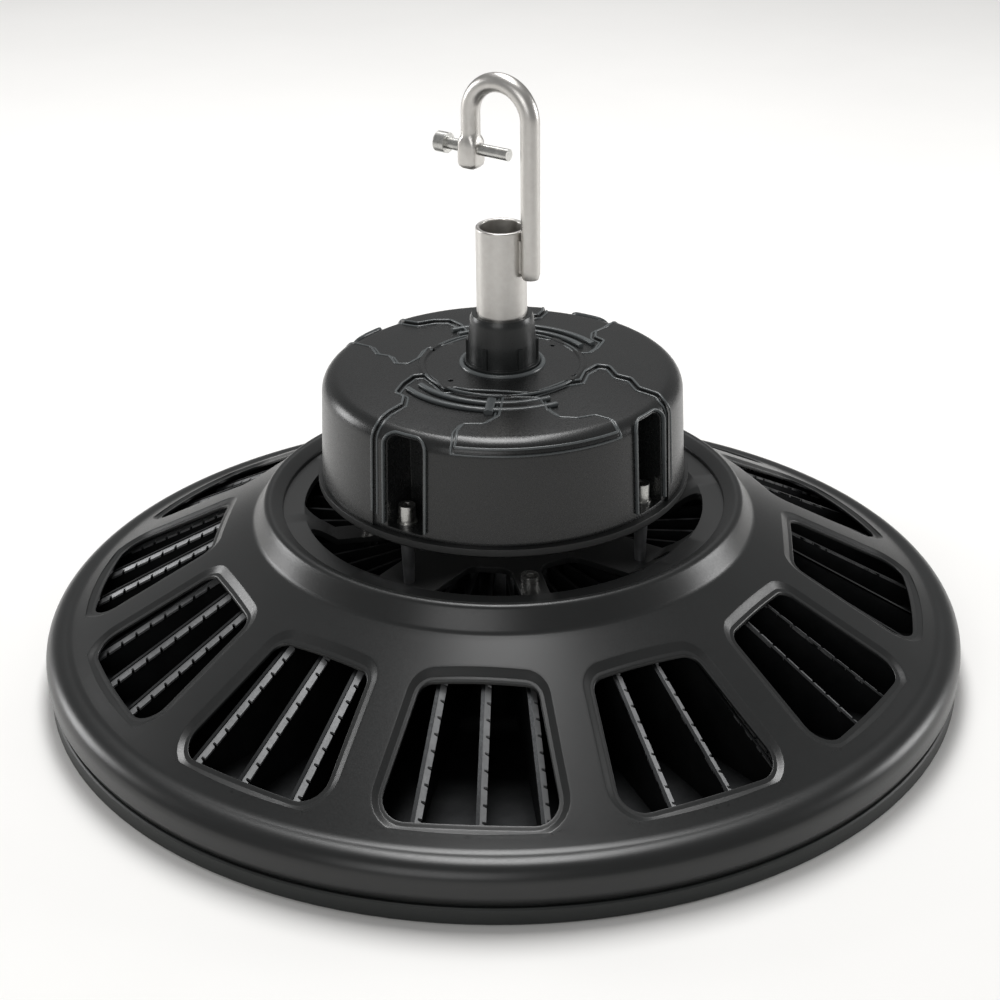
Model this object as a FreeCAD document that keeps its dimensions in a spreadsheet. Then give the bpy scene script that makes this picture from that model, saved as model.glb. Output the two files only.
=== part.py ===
import FreeCAD, Part
import os
import re
import Sketcher

# High bay light, hung by a hook: a cast ring shell over a finned heat sink, a driver can
# above it on four pins, and the light board with its lens below.
#
# Frame: +Z up, millimetres. The origin is the centre of the flat underside of the bottom
# ring. A cooling window of the shell is centred on -Y. Angles are in degrees from +X.
#
# Every size below is a cell of the sheet "Sizes"; the features are bound to those cells.

SIZES = {
    # Bottom ring, from the rim of the shell inwards
    "rim_radius": 201.2,
    "ring_inset": 1.0,
    "ring_height": 8.0,
    "ring_edge": 1.2,
    "ring_land_step": 0.5,
    "ring_land_width": 16.1,
    "ring_lip_width": 8.0,
    "ring_lip_thickness": 3.0,
    "ring_screw_inset": 8.0,
    "ring_screw_sink": 2.8,
    # Shell
    "shell_wall": 2.5,
    "foot_inset": 2.6,
    "bulge_height": 5.0,
    "bulge_roll": 4.0,
    "rim_height": 18.4,
    "rim_roll": 8.0,
    "rim_flat": 10.7,
    "cone_slope": 29.2,
    "cone_roll": 7.0,
    "lip_radius": 102.4,
    "lip_flare": 6.0,
    "lip_rise": 4.72,
    "lip_height": 5.8,
    "lip_roll": 3.6,
    "mouth_width": 6.9,
    "mouth_height": 1.8,
    # Windows of the shell
    "window_count": 12,
    "window_rib": 20.0,
    "window_inner_margin": 17.5,
    "window_outer_margin": 13.5,
    "window_inner_roll": 6.0,
    "window_outer_roll": 8.5,
    "window_bow": 280.0,
    "bezel_width": 4.4,
    "bezel_depth": 1.3,
    # Heat sink
    "fit_gap": 0.4,
    "sink_base_height": 10.5,
    "board_seat_inset": 4.0,
    "board_seat_depth": 5.5,
    "column_inset": 11.5,
    "column_radius": 6.5,
    "fin_count": 45,
    "fin_thickness": 1.4,
    "fin_inset": 10.6,
    "fin_gap": 1.6,
    "fin_offset": 3.0,
    "fold_width": 3.8,
    "fold_drop": 1.7,
    "fold_thickness": 1.0,
    # Hub plate
    "hub_wall": 2.5,
    "hub_flange": 15.4,
    "hub_dish_depth": 9.0,
    "hub_dish_width": 12.9,
    "kidney_inset": 22.5,
    "kidney_roll": 7.0,
    "narrow_spoke": 12.0,
    "wide_spoke": 27.0,
    "tether_outset": 10.5,
    "tether_hole_radius": 3.5,
    # Driver: its pins, base and cover
    "driver_turn": -75.0,
    "pin_inset": 4.1,
    "pin_length": 22.0,
    "pin_radius": 3.2,
    "pin_foot_radius": 2.2,
    "pin_spigot_radius": 1.4,
    "pin_bore_depth": 10.0,
    "base_thickness": 4.0,
    "base_margin": 1.6,
    "base_edge": 1.0,
    "seal_depth": 1.0,
    "seal_margin": 0.4,
    "can_margin": 8.5,
    "can_height": 45.0,
    "can_taper": 1.8,
    "can_wall": 2.5,
    "can_relief": 1.2,
    "can_roll": 8.0,
    "crown_radius": 18.0,
    "crown_rise": 3.0,
    "bead_radius": 34.0,
    "bead_width": 1.6,
    "bead_rise": 0.7,
    "apron_height": 40.6,
    "dimple_radius": 1.1,
    "dimple_depth": 1.0,
    "pocket_depth": 18.0,
    "pocket_width": 17.0,
    "pocket_shift": 3.8,
    "pocket_roll": 4.0,
    "pocket_height": 42.0,
    "pocket_ledge": 1.6,
    # Screws and washers
    "screw_radius": 1.95,
    "small_screw_radius": 1.45,
    "cap_head_radius": 3.5,
    "cap_head_height": 7.4,
    "key_radius": 1.7,
    "key_depth": 1.8,
    "pan_head_radius": 3.8,
    "pan_head_height": 2.4,
    "small_head_radius": 2.8,
    "small_head_height": 1.7,
    "screw_depth": 9.0,
    "small_screw_depth": 2.8,
    "washer_radius": 4.2,
    "washer_thickness": 0.8,
    "running_gap": 0.15,
    # Hanger: tube, lock nut and collar
    "tube_radius": 10.6,
    "tube_bore_radius": 8.8,
    "tube_edge": 0.6,
    "tube_inset": 11.5,
    "tube_length": 75.6,
    "nut_width": 6.4,
    "nut_height": 7.0,
    "collar_wall": 3.8,
    "collar_foot_width": 1.6,
    "collar_foot_height": 1.8,
    "collar_body_height": 10.0,
    "collar_taper_height": 10.6,
    "collar_taper": 1.0,
    "collar_edge_height": 1.8,
    "collar_edge": 0.8,
    "collar_rib_count": 6,
    "collar_rib_width": 2.2,
    "collar_rib_rise": 0.9,
    "collar_rib_height": 9.0,
    "collar_turn": -115.0,
    # Hook
    "hook_turn": -30.0,
    "rod_radius": 4.0,
    "rod_overlap": 23.0,
    "rod_length": 68.4,
    "lug_drop": 23.0,
    "lug_height": 14.5,
    "lug_width": 9.6,
    "lug_roll": 2.0,
    "weld_foot_gap": 1.9,
    "weld_top_gap": 2.1,
    "weld_reach": 7.4,
    "hook_screw_drop": 14.6,
    "hook_screw_length": 30.0,
    "hook_screw_reach": 4.2,
    "hook_screw_radius": 2.45,
    "hook_head_radius": 4.25,
    "hook_head_height": 5.0,
    # Lens, gasket and light board
    "lens_thickness": 2.4,
    "lens_rib_height": 2.4,
    "lens_rib_width": 18.0,
    "gasket_width": 5.5,
    "board_thickness": 1.6,
    "board_screw_circle": 92.5,
    "board_screw_count": 6,
    "led_size": 5.0,
    "led_height": 1.0,
    "led_ring_radius": 40.0,
    "led_ring_step": 35.0,
    # Inside the driver, and the glands of its leads
    "lead_hole_radius": 9.0,
    "gland_bore_radius": 3.5,
    "gland_flange_width": 3.0,
    "gland_flange_height": 2.0,
    "post_inset": 23.5,
    "post_radius": 4.0,
    "post_height": 9.0,
    "card_margin": 9.0,
    "core_length": 36.0,
    "core_width": 34.0,
    "core_height": 14.0,
    "coil_step": 4.0,
    "coil_height": 20.0,
    "choke_radius": 12.0,
    "choke_bore_radius": 5.5,
    "choke_height": 10.0,
    "capacitor_radius": 6.0,
    "capacitor_height": 20.0,
    "capacitor_count": 3,
    "component_shift": 22.0,
}

doc = FreeCAD.newDocument("HighBayLight")
sheet = doc.addObject("Spreadsheet::Sheet", "Sizes")
for row, (alias, number) in enumerate(SIZES.items(), start=1):
    sheet.set(f"A{row}", alias)
    sheet.set(f"B{row}", str(number))
    sheet.setAlias(f"B{row}", alias)
doc.recompute()

parts = {}


# ---------------------------------------------------------------- tools of this model

def bound(formula):
    """The formula with each size named as its cell of the sheet."""
    name = lambda word: "Sizes." + word[0] if word[0] in SIZES else word[0]
    return re.sub(r"[a-z]\w*", name, str(formula))


def value(formula):
    """What a formula of sizes comes to, in millimetres, degrees or a plain number."""
    return float(sheet.evalExpression(str(formula)))


def bind(thing, **formulas):
    """Bind properties of an object of the document to formulas of sizes."""
    for prop, formula in formulas.items():
        thing.setExpression(prop, bound(formula))


def place(thing, x="0", y="0", z="0", turn="0"):
    """Bind an object's place, and its turn about its own Z axis."""
    thing.Placement = FreeCAD.Placement(FreeCAD.Vector(0, 0, 0), FreeCAD.Rotation())
    for axis, formula in (("x", x), ("y", y), ("z", z)):
        thing.setExpression(f"Placement.Base.{axis}", bound(formula))
    if str(turn) != "0":
        thing.setExpression("Placement.Rotation.Angle", bound(turn))
    return thing


def turned(corners, angle):
    """Corners of a plan outline turned about the centre by an angle."""
    return [(f"({x}) * cos({angle}) - ({y}) * sin({angle})",
             f"({x}) * sin({angle}) + ({y}) * cos({angle})") + tuple(roll)
            for x, y, *roll in corners]


def bowed_edge(start, end, bow):
    """An arc of radius bow from start to end: to the right of the way there if positive."""
    middle = (start + end) * 0.5
    chord = end - start
    right = FreeCAD.Vector(chord.y, -chord.x, 0).normalize()
    rise = abs(bow) - (bow * bow - chord.Length ** 2 / 4) ** 0.5
    if bow < 0:
        rise = -rise
    return Part.Arc(start, middle + right * rise, end)


def edge_ends(corner):
    """Which ends of the edge after a corner are its start and end. An arc of a sketch runs
    anticlockwise, so one that bulges inwards has them the other way about."""
    if len(corner) == 4 and value(corner[3]) < 0:
        return 2, 1
    return 1, 2


def along(edge, corner):
    """A point a little way along an edge from one of its corners."""
    first, last = edge.FirstParameter, edge.LastParameter
    spots = [edge.value(first + (last - first) * share) for share in (0.2, 0.8)]
    return min(spots, key=corner.distanceToPoint)


def sketch(body, name, role, outlines=(), circles=(), offset="0"):
    """Closed outlines on an origin plane, drawn anticlockwise, and circles (x, y, radius).
    A corner is (x, y), or (x, y, roll) to round it, or (x, y, roll, bow) where the edge
    after it is an arc of the radius bow: bulging outwards, or inwards if negative. All are
    formulas of sizes."""
    drawing = body.newObject("Sketcher::SketchObject", name)
    plane = [item for item in body.Origin.OriginFeatures if item.Role == role][0]
    drawing.AttachmentSupport = (plane, [""])
    drawing.MapMode = "FlatFace"
    drawing.setExpression("AttachmentOffset.Base.z", bound(offset))

    def rule(kind, *where):
        index = drawing.addConstraint(Sketcher.Constraint(kind, *where[:-1], value(where[-1])))
        drawing.setExpression(f"Constraints[{index}]", bound(where[-1]))

    for corners in outlines:
        spots = [FreeCAD.Vector(value(corner[0]), value(corner[1]), 0) for corner in corners]
        count = len(spots)
        first = len(drawing.Geometry)
        for k, corner in enumerate(corners):
            start, end = spots[k], spots[(k + 1) % count]
            if len(corner) == 4:
                drawing.addGeometry(bowed_edge(start, end, value(corner[3])))
            else:
                drawing.addGeometry(Part.LineSegment(start, end))
        heads = [edge_ends(corner) for corner in corners]
        for k, corner in enumerate(corners):
            following = (k + 1) % count
            link = Sketcher.Constraint("Coincident", first + k, heads[k][1],
                                       first + following, heads[following][0])
            drawing.addConstraint(link)
        for k, corner in enumerate(corners):
            rule("DistanceX", -1, 1, first + k, heads[k][0], corner[0])
            rule("DistanceY", -1, 1, first + k, heads[k][0], corner[1])
            if len(corner) == 4:
                rule("Radius", first + k, f"abs({corner[3]})")
        for k, corner in enumerate(corners):
            if len(corner) > 2 and value(corner[2]) > 0:
                arc = len(drawing.Geometry)
                before, after = first + (k - 1) % count, first + k
                near = along(drawing.Geometry[before], spots[k])
                far = along(drawing.Geometry[after], spots[k])
                drawing.fillet(before, after, near, far, value(corner[2]), True, True)
                rule("Radius", arc, corner[2])
    for x, y, radius in circles:
        number = len(drawing.Geometry)
        middle = FreeCAD.Vector(value(x), value(y), 0)
        drawing.addGeometry(Part.Circle(middle, FreeCAD.Vector(0, 0, 1), value(radius)))
        rule("DistanceX", -1, 1, number, 3, x)
        rule("DistanceY", -1, 1, number, 3, y)
        rule("Radius", number, radius)
    doc.recompute()
    return drawing


def body_of(label):
    """A new body, which becomes the sub-part of that name."""
    body = doc.addObject("PartDesign::Body", label)
    parts[label] = body
    return body


def revolve(body, name, corners):
    """A section in the XZ plane, as corners (radius, level), turned about Z."""
    profile = sketch(body, name + "_section", "XZ_Plane", [corners])
    feature = body.newObject("PartDesign::Revolution", name)
    feature.Profile = profile
    feature.ReferenceAxis = (profile, ["V_Axis"])
    feature.Angle = 360
    doc.recompute()
    return feature


def pad(body, name, role, height, outlines=(), circles=(), offset="0", both_ways=False):
    """Outlines on an origin plane, drawn at an offset from it and padded by the height."""
    plan = sketch(body, name + "_plan", role, outlines, circles, offset)
    feature = body.newObject("PartDesign::Pad", name)
    feature.Profile = plan
    feature.Midplane = both_ways
    bind(feature, Length=height)
    doc.recompute()
    return feature


def cut_through(body, name, outlines=(), circles=()):
    """Plan outlines cut through the whole body."""
    plan = sketch(body, name + "_plan", "XY_Plane", outlines, circles)
    feature = body.newObject("PartDesign::Pocket", name)
    feature.Profile = plan
    feature.Type = "ThroughAll"
    feature.Midplane = True
    doc.recompute()
    return feature


def ring_of(body, name, features, count):
    """Features repeated evenly about Z."""
    pattern = body.newObject("PartDesign::PolarPattern", name)
    pattern.Originals = features
    axis = [item for item in body.Origin.OriginFeatures if item.Role == "Z_Axis"][0]
    pattern.Axis = (axis, [""])
    pattern.Angle = 360
    bind(pattern, Occurrences=count)
    body.Tip = pattern
    doc.recompute()
    return pattern


def cylinder(name, radius, foot, top):
    """A round bar on the Z axis between two levels."""
    bar = doc.addObject("Part::Cylinder", name)
    bind(bar, Radius=radius, Height=f"({top}) - ({foot})")
    return place(bar, z=foot)


def cone(name, foot_radius, top_radius, foot, top):
    """A tapered bar on the Z axis between two levels."""
    bar = doc.addObject("Part::Cone", name)
    bind(bar, Radius1=foot_radius, Radius2=top_radius, Height=f"({top}) - ({foot})")
    return place(bar, z=foot)


def box(name, length, width, height, x="0", y="0", z="0"):
    """A block centred on x and y, standing on z."""
    block = doc.addObject("Part::Box", name)
    bind(block, Length=length, Width=width, Height=height)
    return place(block, x=f"({x}) - ({length}) / 2", y=f"({y}) - ({width}) / 2", z=z)


def fuse(name, *pieces):
    joined = doc.addObject("Part::MultiFuse", name)
    joined.Shapes = list(pieces)
    return joined


def cut(name, base, *tools):
    """The base less every tool."""
    tool = tools[0] if len(tools) == 1 else fuse(name + "_tools", *tools)
    rest = doc.addObject("Part::Cut", name)
    rest.Base = base
    rest.Tool = tool
    return rest


def group_of(label, master, places):
    """One node of equal separate solids: the master set at each (radius, angle)."""
    doc.recompute()
    solids = []
    for radius, angle in places:
        solid = master.Shape.copy()
        solid.translate(FreeCAD.Vector(radius, 0, 0))
        solid.rotate(FreeCAD.Vector(0, 0, 0), FreeCAD.Vector(0, 0, 1), angle)
        solids.append(solid)
    group = doc.addObject("Part::Feature", label)
    group.Shape = Part.makeCompound(solids)
    parts[label] = group
    return group


def around(circle, count, start="0"):
    """Evenly spaced places on a circle, as (radius, angle)."""
    number = round(value(count))
    return [(value(circle), value(start) + 360.0 * k / number) for k in range(number)]


def on_circle(circle, angle):
    """The plan place at an angle on a circle."""
    return f"({circle}) * cos({angle})", f"({circle}) * sin({angle})"


def drill(body, name, circle, radius, foot, top, count, start="0"):
    """Round holes spread on a circle about Z, from the top level down to the foot level."""
    plan = sketch(body, name + "_plan", "XY_Plane",
                  circles=[on_circle(circle, start) + (radius,)], offset=top)
    hole = body.newObject("PartDesign::Pocket", name)
    hole.Profile = plan
    bind(hole, Length=f"({top}) - ({foot})")
    doc.recompute()
    return ring_of(body, name + "s", [hole], count)


def screw(name, head, shank, key):
    """A screw on the Z axis: (radius, foot, top) of its head, its shank and its hex socket."""
    blank = fuse(name + "_blank", cylinder(name + "_head", *head),
                 cylinder(name + "_shank", *shank))
    socket = doc.addObject("Part::Prism", name + "_socket")
    bind(socket, Circumradius=key[0], Height=f"({key[2]}) - ({key[1]})")
    place(socket, z=key[1])
    return cut(name + "_master", blank, socket)


# ---------------------------------------------------------------- levels and radii

# What follows from the sizes above, each as a formula of them.
shell_foot_radius = "(rim_radius - foot_inset)"
ring_step_radius = f"({shell_foot_radius} - shell_wall)"
ring_radius = "(rim_radius - ring_inset)"
land_level = "(ring_height - ring_land_step)"
land_radius = f"({ring_step_radius} - ring_land_width)"
ring_lip_radius = f"({land_radius} - ring_lip_width)"
ring_screw_circle = f"({land_radius} + ring_screw_inset)"

rim_top = "(ring_height + rim_height)"
cone_foot_radius = "(rim_radius - rim_flat)"
lip_foot_radius = "(lip_radius + lip_flare)"
hub_radius = "(lip_radius - fit_gap - running_gap)"
lip_seat_radius = "(lip_radius - running_gap)"

sink_radius = f"({ring_step_radius} - fit_gap)"
sink_top = f"({land_level} + sink_base_height)"
board_seat_radius = f"({ring_lip_radius} - board_seat_inset)"
board_seat_level = f"({land_level} + board_seat_depth)"
fin_outer_radius = f"({shell_foot_radius} - fin_inset)"

dish_radius = f"({hub_radius} - hub_flange)"
hub_flat_radius = f"({dish_radius} - hub_dish_width)"
pin_circle = f"({hub_flat_radius} - pin_inset)"
column_circle = f"({pin_circle} - column_inset)"
kidney_inner_radius = f"({pin_circle} - kidney_inset)"
fin_inner_radius = f"({kidney_inner_radius} - 1)"
tether_circle = f"({pin_circle} + tether_outset)"
can_radius = f"({pin_circle} + can_margin)"
low_radius = f"({can_radius} - can_relief)"


def on_cone(radius, depth="0"):
    """Level of the shell's straight cone at a radius, at a depth below its outer skin."""
    return (f"({rim_top} + ({cone_foot_radius} - {radius}) * tan(cone_slope)"
            f" - ({depth}) / cos(cone_slope))")


def cone_at(level, depth="0"):
    """Radius at which the cone, at that depth, comes to a level."""
    return (f"({cone_foot_radius} + ({rim_top} - ({depth}) / cos(cone_slope) - ({level}))"
            f" / tan(cone_slope))")


hub_seat = f"({on_cone(lip_foot_radius)} + lip_rise)"
hub_level = f"({hub_seat} - hub_dish_depth)"
fin_top = f"({hub_level} - hub_wall)"
base_level = f"({hub_level} + pin_length)"
base_top = f"({base_level} + base_thickness)"
shoulder_level = f"({base_top} + can_height)"
crown_level = f"({shoulder_level} + crown_rise)"
crown_under = f"({crown_level} - can_relief - can_wall)"
tube_foot = f"({crown_under} - tube_inset)"
tube_top = f"({tube_foot} + tube_length)"
rod_foot = f"({tube_top} - rod_overlap)"
bend_level = f"({rod_foot} + rod_length)"

tap_radius = "(screw_radius + running_gap)"
small_tap_radius = "(small_screw_radius + running_gap)"


# ---------------------------------------------------------------- shell

shell = body_of("shell")
revolve(shell, "shell_form", [
    (shell_foot_radius, "ring_height"),
    ("rim_radius", "ring_height + bulge_height", "bulge_roll"),
    ("rim_radius", rim_top, "rim_roll"),
    (cone_foot_radius, rim_top, "cone_roll"),
    (lip_foot_radius, on_cone(lip_foot_radius)),
    ("lip_radius", f"{hub_seat} + lip_height", "lip_roll"),
    ("lip_radius - mouth_width", f"{hub_seat} + mouth_height"),
    ("lip_radius - mouth_width", hub_seat),
    (lip_seat_radius, hub_seat),
    (lip_seat_radius, on_cone(lip_seat_radius, "shell_wall")),
    (cone_at(f"{rim_top} - shell_wall", "shell_wall"), f"{rim_top} - shell_wall"),
    ("rim_radius - shell_wall - rim_roll / 3", f"{rim_top} - shell_wall"),
    ("rim_radius - shell_wall", f"{rim_top} - shell_wall - rim_roll / 3"),
    ("rim_radius - shell_wall", "ring_height + bulge_height"),
    (ring_step_radius, "ring_height"),
])

window_inner_radius = f"({lip_foot_radius} + window_inner_margin)"
window_outer_radius = f"({cone_foot_radius} - window_outer_margin)"


def window_half(radius):
    """Half a window's width at a radius: what the straight ribs between windows leave."""
    return f"({radius} * sin(180 / window_count) - window_rib / 2)"


def window_outline(border):
    """A window as seen from above, centred on +X, widened by a border all round."""
    inner = f"({window_inner_radius} - {border})"
    outer = f"({window_outer_radius} + {border})"
    widen = f"({border} / cos(180 / window_count))"
    half_inner = f"({window_half(inner)} + {widen})"
    half_outer = f"({window_half(outer)} + {widen})"
    inner_roll = f"(window_inner_roll + {border})"
    outer_roll = f"(window_outer_roll + {border})"
    return [(inner, f"0 - {half_inner}", inner_roll),
            (outer, f"0 - {half_outer}", outer_roll, f"window_bow + {border}"),
            (outer, half_outer, outer_roll), (inner, half_inner, inner_roll)]


bezel = cut_through(shell, "window_bezel", [window_outline("bezel_width")])
ring_of(shell, "window_bezels", [bezel], "window_count")
sunk_inner = f"({window_inner_radius} - 1.5 * bezel_width)"
sunk_outer = f"({window_outer_radius} + 1.5 * bezel_width)"
revolve(shell, "sunk_skin", [
    (sunk_inner, on_cone(sunk_inner, "bezel_depth")),
    (sunk_inner, on_cone(sunk_inner, "shell_wall")),
    (sunk_outer, on_cone(sunk_outer, "shell_wall")),
    (sunk_outer, on_cone(sunk_outer, "bezel_depth")),
])
opening = cut_through(shell, "window_opening", [window_outline("0")])
ring_of(shell, "window_openings", [opening], "window_count")


# ---------------------------------------------------------------- heat sink

fin_skin = "(shell_wall + fin_gap)"
fold_start = cone_at(fin_top, fin_skin)

heat_sink = body_of("heat_sink")
revolve(heat_sink, "sink_base", [
    ("lead_hole_radius", board_seat_level),
    (board_seat_radius, board_seat_level),
    (board_seat_radius, land_level),
    (sink_radius, land_level),
    (sink_radius, sink_top),
    ("lead_hole_radius", sink_top),
])
fin_web = pad(heat_sink, "fin_web", "XZ_Plane", "fin_thickness", [[
    (fin_inner_radius, f"{sink_top} - 1"),
    (fin_outer_radius, f"{sink_top} - 1"),
    (fin_outer_radius, on_cone(fin_outer_radius, fin_skin)),
    (fold_start, fin_top),
    (fin_inner_radius, fin_top),
]], offset="fin_offset", both_ways=True)
fold_edge = "(0 - fin_offset - fin_thickness / 2)"
fin_fold = pad(heat_sink, "fin_fold", "YZ_Plane",
               f"({fin_outer_radius} - {fold_start}) / cos(cone_slope)", [[
    (fold_edge, f"{fin_top} - fold_thickness"),
    (f"{fold_edge} + fold_width", f"{fin_top} - fold_thickness - fold_drop"),
    (f"{fold_edge} + fold_width", f"{fin_top} - fold_drop"),
    (fold_edge, fin_top),
]], offset=fold_start)
fin_fold.UseCustomVector = True
fin_fold.AlongSketchNormal = False
for axis, formula in (("x", "cos(cone_slope)"), ("z", "0 - sin(cone_slope)")):
    fin_fold.setExpression(f"Direction.{axis}", bound(formula))
doc.recompute()
ring_of(heat_sink, "fins", [fin_web, fin_fold], "fin_count")
column = pad(heat_sink, "column", "XY_Plane", f"{fin_top} - {sink_top} + 1",
             circles=[on_circle(column_circle, "driver_turn") + ("column_radius",)],
             offset=f"{sink_top} - 1")
ring_of(heat_sink, "columns", [column], "4")
drill(heat_sink, "column_bore", column_circle, tap_radius,
      f"{fin_top} - screw_depth", fin_top, "4", "driver_turn")
drill(heat_sink, "ring_screw_bore", ring_screw_circle, tap_radius,
      land_level, f"{land_level} + screw_depth", "window_count")
drill(heat_sink, "board_screw_bore", "board_screw_circle", small_tap_radius,
      board_seat_level, f"{board_seat_level} + small_screw_depth", "board_screw_count")


# ---------------------------------------------------------------- bottom ring

trim_ring = body_of("trim_ring")
revolve(trim_ring, "ring_section_turned", [
    (ring_lip_radius, "0"),
    (f"{ring_radius} - ring_edge", "0"),
    (ring_radius, "ring_edge"),
    (ring_radius, "ring_height - ring_edge / 2"),
    (f"{ring_radius} - ring_edge / 2", "ring_height"),
    (ring_step_radius, "ring_height"),
    (ring_step_radius, land_level),
    (land_radius, land_level),
    (land_radius, "ring_lip_thickness"),
    (ring_lip_radius, "ring_lip_thickness"),
])
drill(trim_ring, "ring_hole", ring_screw_circle, tap_radius,
      "0 - 1", f"{land_level} + 1", "window_count")
drill(trim_ring, "ring_sink", ring_screw_circle, "pan_head_radius + 3 * running_gap",
      "0 - 1", "ring_screw_sink", "window_count")

ring_screw = screw("ring_screw",
                   ("pan_head_radius", "ring_screw_sink - pan_head_height", "ring_screw_sink"),
                   ("screw_radius", "ring_screw_sink - 0.5", f"{land_level} + screw_depth - 1"),
                   ("key_radius", "ring_screw_sink - pan_head_height",
                    "ring_screw_sink - pan_head_height + key_depth"))
group_of("ring_screws", ring_screw, around(ring_screw_circle, "window_count"))


# ---------------------------------------------------------------- lens, gasket and light board

lens_radius = f"({land_radius} - fit_gap)"
lens_top = "(ring_lip_thickness + lens_thickness)"
led_rings = 4

rib_corners = []
for k in range(led_rings):
    middle = f"(led_ring_radius + {k} * led_ring_step)"
    rib_corners += [
        (f"{middle} - lens_rib_width / 2", "ring_lip_thickness"),
        (f"{middle} - lens_rib_width / 4", "ring_lip_thickness - lens_rib_height"),
        (f"{middle} + lens_rib_width / 4", "ring_lip_thickness - lens_rib_height"),
        (f"{middle} + lens_rib_width / 2", "ring_lip_thickness"),
    ]
lens = body_of("lens")
revolve(lens, "lens_section_turned", [
    ("0", "ring_lip_thickness"),
    *rib_corners,
    (lens_radius, "ring_lip_thickness"),
    (lens_radius, lens_top),
    ("0", lens_top),
])

gasket = body_of("lens_gasket")
revolve(gasket, "gasket_section_turned", [
    (f"{lens_radius} - fit_gap - gasket_width", lens_top),
    (f"{lens_radius} - fit_gap", lens_top),
    (f"{lens_radius} - fit_gap", land_level),
    (f"{lens_radius} - fit_gap - gasket_width", land_level),
])

board_foot = f"({board_seat_level} - board_thickness)"
board_radius = f"({board_seat_radius} - 5 * fit_gap)"
led_board = body_of("led_board")
pad(led_board, "board_disc", "XY_Plane", "board_thickness",
    circles=[("0", "0", board_radius), ("0", "0", "lead_hole_radius")], offset=board_foot)
drill(led_board, "board_hole", "board_screw_circle", small_tap_radius,
      f"{board_foot} - 1", f"{board_seat_level} + 1", "board_screw_count")

board_screw = screw("board_screw",
                    ("small_head_radius", f"{board_foot} - small_head_height", board_foot),
                    ("small_screw_radius", f"{board_foot} - 0.5",
                     f"{board_seat_level} + small_screw_depth - 0.5"),
                    ("key_radius", f"{board_foot} - small_head_height",
                     f"{board_foot} - small_head_height / 2"))
group_of("board_screws", board_screw, around("board_screw_circle", "board_screw_count"))

led = box("led", "led_size", "led_size", "led_height", z=f"{board_foot} - led_height")
led_places = []
for k in range(led_rings):
    led_places += around(f"led_ring_radius + {k} * led_ring_step", f"12 + {k} * 8")
group_of("leds", led, led_places)


# ---------------------------------------------------------------- hub plate

dish_shift = "(hub_wall * tan(atan(hub_dish_depth / hub_dish_width) / 2))"

hub_plate = body_of("hub_plate")
revolve(hub_plate, "hub_section_turned", [
    ("lead_hole_radius", fin_top),
    (f"{hub_flat_radius} + {dish_shift}", fin_top),
    (f"{dish_radius} + {dish_shift}", f"{hub_seat} - hub_wall"),
    (hub_radius, f"{hub_seat} - hub_wall"),
    (hub_radius, hub_seat),
    (dish_radius, hub_seat),
    (hub_flat_radius, hub_level),
    ("lead_hole_radius", hub_level),
])


def beside_spoke(circle, width, side):
    """Where a circle about Z meets the edge of a spoke that lies along +X."""
    return (f"sqrt(({circle}) * ({circle}) - ({width}) * ({width}) / 4)",
            f"{side} * ({width}) / 2")


def kidney(first, second, angle):
    """The opening between a spoke of one width and the next spoke, 45 degrees on."""
    inner, outer, roll = kidney_inner_radius, dish_radius, "kidney_roll"
    near = turned([beside_spoke(inner, first, 1) + (roll,),
                   beside_spoke(outer, first, 1) + (roll, outer)], angle)
    far = turned([beside_spoke(outer, second, -1) + (roll,),
                  beside_spoke(inner, second, -1) + (roll,)], f"({angle} + 45)")
    return near + far


kidneys = cut_through(hub_plate, "kidney_pair", [
    kidney("narrow_spoke", "wide_spoke", "driver_turn"),
    kidney("wide_spoke", "narrow_spoke", "(driver_turn + 45)"),
])
ring_of(hub_plate, "kidneys", [kidneys], "4")
drill(hub_plate, "hub_screw_hole", column_circle, tap_radius,
      f"{fin_top} - 1", f"{hub_level} + 1", "4", "driver_turn")
drill(hub_plate, "pin_hole", pin_circle, "pin_spigot_radius + running_gap",
      f"{fin_top} - 1", f"{hub_level} + 1", "4", "driver_turn + 45")
drill(hub_plate, "tether_hole", tether_circle, "tether_hole_radius",
      f"{fin_top} - 1", f"{hub_seat} + 1", "4", "driver_turn + 45")

hub_screw = screw("hub_screw",
                  ("pan_head_radius", hub_level, f"{hub_level} + pan_head_height"),
                  ("screw_radius", f"{fin_top} - screw_depth + 1", f"{hub_level} + 0.5"),
                  ("key_radius", f"{hub_level} + pan_head_height - key_depth",
                   f"{hub_level} + pan_head_height"))
group_of("hub_screws", hub_screw, around(column_circle, "4", "driver_turn"))


# ---------------------------------------------------------------- driver base and its pins

base_radius = f"({can_radius} + base_margin)"
post_circle = f"({pin_circle} - post_inset)"
seal_outer = f"({low_radius} - seal_margin)"
seal_inner = f"({low_radius} - can_wall + seal_margin)"

pin = cut("pin_master",
          fuse("pin_blank",
               cone("pin_taper", "pin_foot_radius", "pin_radius", hub_level, base_level),
               cylinder("pin_spigot", "pin_spigot_radius", fin_top, f"{hub_level} + 1")),
          cylinder("pin_bore", tap_radius, f"{base_level} - pin_bore_depth", base_level))
group_of("driver_pins", pin, around(pin_circle, "4", "driver_turn + 45"))

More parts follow.
